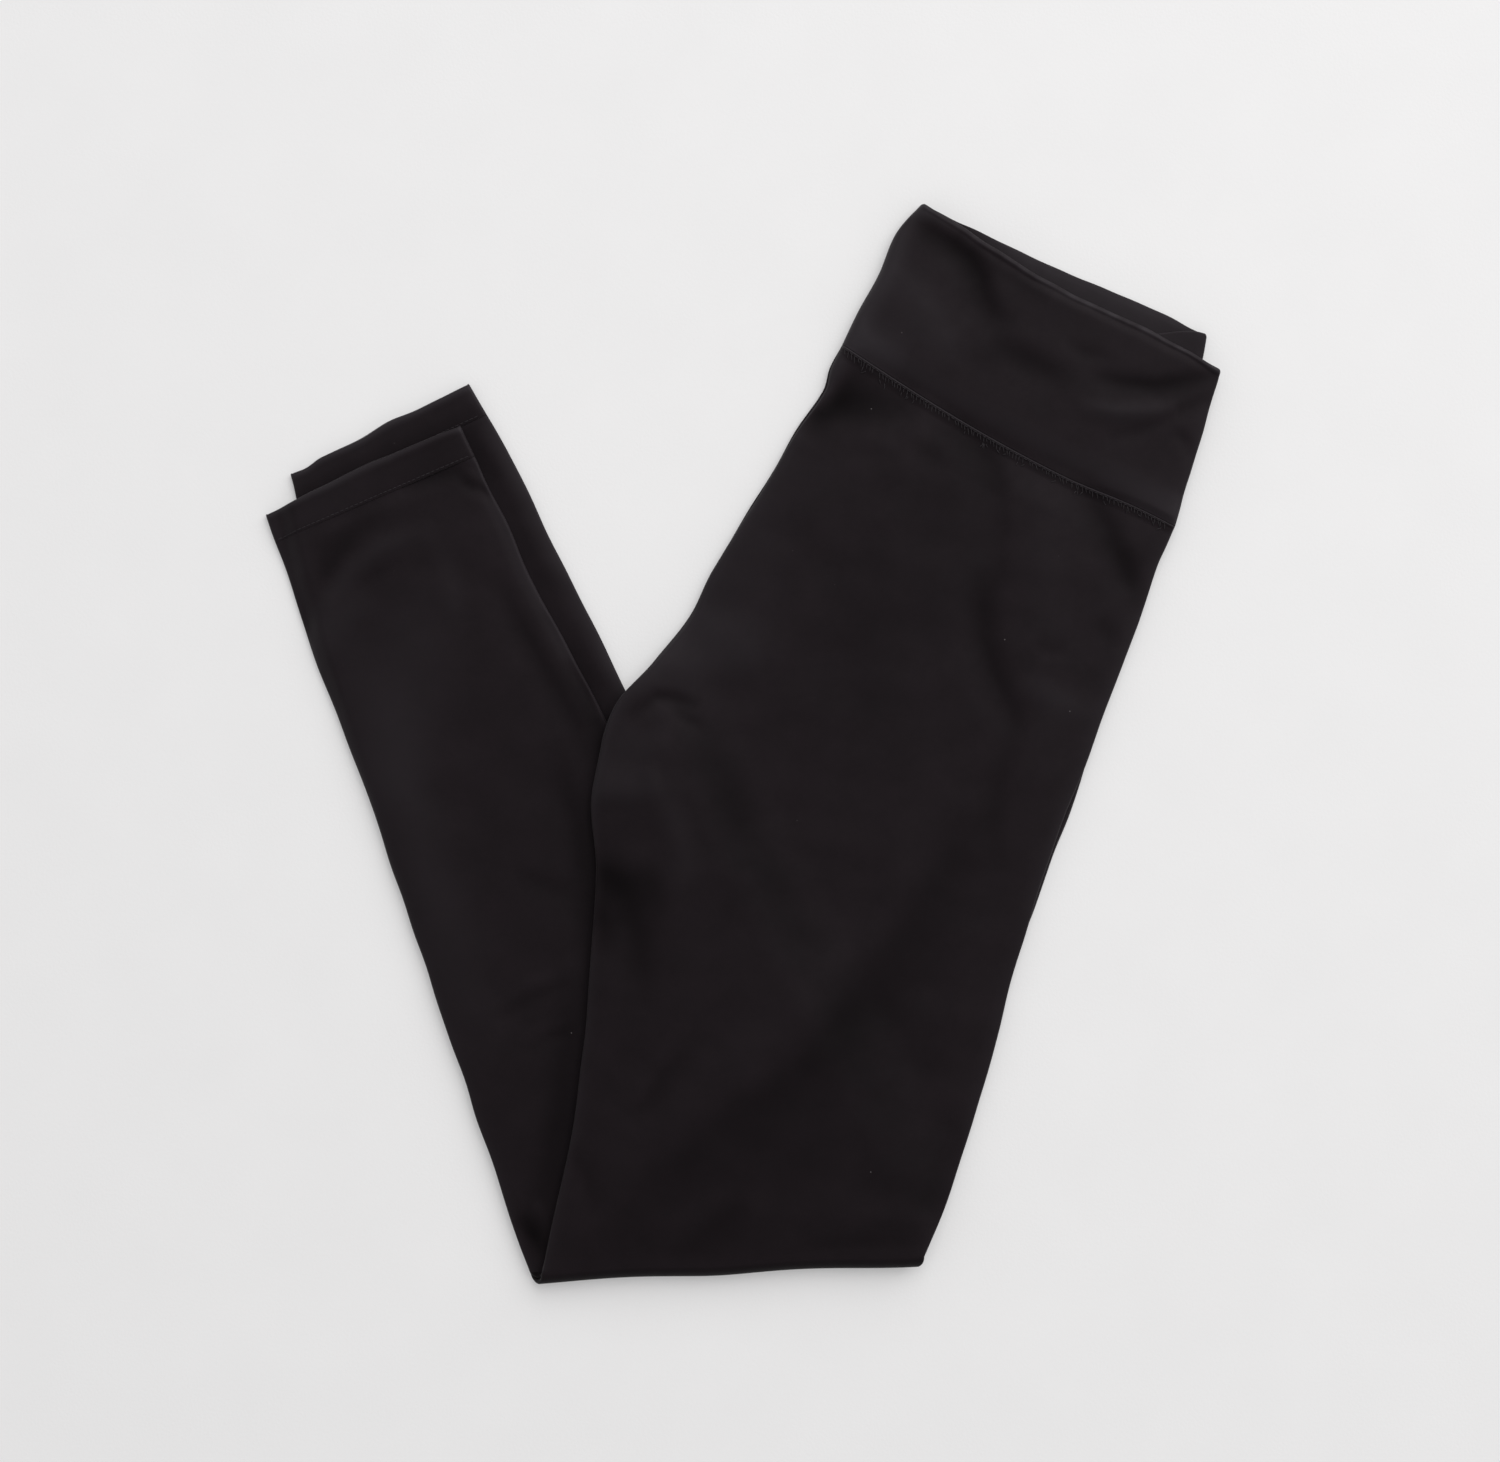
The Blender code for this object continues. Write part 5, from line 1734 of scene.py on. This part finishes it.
@dataclass(frozen=True)
class Studio:
    """A pale floor, one large soft light past the waist end, a pale fill and a camera overhead."""

    floor_side: float = 60.0
    floor_drop: float = 0.10 * MM
    view_width: float = 0.750
    view_centre: Pair = (3.75 * MM, 6.0 * MM)
    focus_height: float = 5 * MM
    camera_height: float = 1.35
    lens: float = 63.0
    key_place: tuple[float, float, float] = (1.40, 2.10, 2.45)
    key_size: Pair = (4.2, 4.0)
    key_power: float = 128.0
    key_colour: Colour = (1.0, 0.985, 0.985)
    sky_colour: Colour = (1.0, 0.99, 0.99)
    zenith: float = 0.16
    horizon: float = 1.12

    def build_floor(self, material: Material) -> None:
        """Builds the floor."""
        bpy.ops.object.select_all(action="DESELECT")
        bpy.ops.mesh.primitive_plane_add(size=self.floor_side, location=(0, 0, -self.floor_drop))
        floor = bpy.context.active_object
        floor.name = "pale_floor"
        floor.data.materials.append(material)

    def build_lights(self) -> None:
        """Builds the key light and the fill, which is dimmer overhead than at the horizon."""
        data = bpy.data.lights.new("window", "AREA")
        data.shape = "RECTANGLE"
        data.size, data.size_y = self.key_size
        data.energy = self.key_power
        data.color = self.key_colour
        key = link(bpy.data.objects.new("window", data))
        key.location = self.key_place
        key.rotation_euler = (-key.location).to_track_quat("-Z", "Y").to_euler()
        world = bpy.data.worlds.new("pale_room")
        world.use_nodes = True
        tree = world.node_tree
        sky = tree.nodes["Background"]
        sky.inputs["Color"].default_value = (*self.sky_colour, 1.0)
        way = tree.nodes.new("ShaderNodeTexCoord")
        split = tree.nodes.new("ShaderNodeSeparateXYZ")
        fade = tree.nodes.new("ShaderNodeMapRange")
        fade.inputs["To Min"].default_value = self.horizon
        fade.inputs["To Max"].default_value = self.zenith
        tree.links.new(way.outputs["Generated"], split.inputs[0])
        tree.links.new(split.outputs[2], fade.inputs["Value"])
        tree.links.new(fade.outputs[0], sky.inputs["Strength"])
        bpy.context.scene.world = world

    def build_camera(self) -> None:
        """Builds the camera, straight overhead with the waist end at the top."""
        data = bpy.data.cameras.new("overhead")
        data.lens = self.lens
        data.sensor_width = self.view_width * self.lens / self.camera_height
        camera = link(bpy.data.objects.new("overhead", data))
        camera.location = (*self.view_centre, self.focus_height + self.camera_height)
        bpy.context.scene.camera = camera
        bpy.context.scene.view_settings.view_transform = "Standard"


# ---- The whole ----


class LegPieces(NamedTuple):
    """The pieces that one leg is built of."""

    cloth: Object
    hem: Object
    waist_stitches: Object
    hem_stitches: Object


def build_leg(
    leg: Leg, stitch: Stitch, jersey: Material, thread: Material
) -> LegPieces:
    """Builds one leg's pieces in the place of its nodes."""
    name = leg.side.value
    cloth = leg.build(jersey)
    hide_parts(f"{name}_leg")
    hem = leg.build_hem(jersey)
    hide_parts(f"{name}_hem")
    seam = WaistSeam(leg, Facing.UP if leg.is_top else Facing.DOWN, seed=31 + leg.is_top)
    return LegPieces(cloth, hem, seam.build(stitch, thread), leg.hem_stitches(stitch, thread))


def main() -> None:
    """Builds the garment and the studio."""
    logging.basicConfig(level=logging.INFO, format="%(name)s: %(message)s")
    studio = Studio()
    studio.build_camera()
    studio.build_lights()
    studio.build_floor(PaperFinish().make())
    jersey = JerseyFinish().make()
    thread = ThreadFinish().make()
    stitch = Stitch(CLOTH.thread)

    band = Waistband()
    band_cloth = band.build(jersey)
    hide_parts("waistband")
    right = Leg(Side.RIGHT, TOP_LEG_SHIN, is_top=True)
    left = Leg(Side.LEFT, UNDER_LEG_SHIN, is_top=False)
    made = {leg.side: build_leg(leg, stitch, jersey, thread) for leg in (right, left)}

    band.flat
    for leg, other in ((right, left), (left, right)):
        cloth, hem, waist_stitches, hem_stitches = made[leg.side]
        leg.cut_area
        2 * leg.shin.line(leg.shin.length).width


if __name__ == "__main__":
    main()
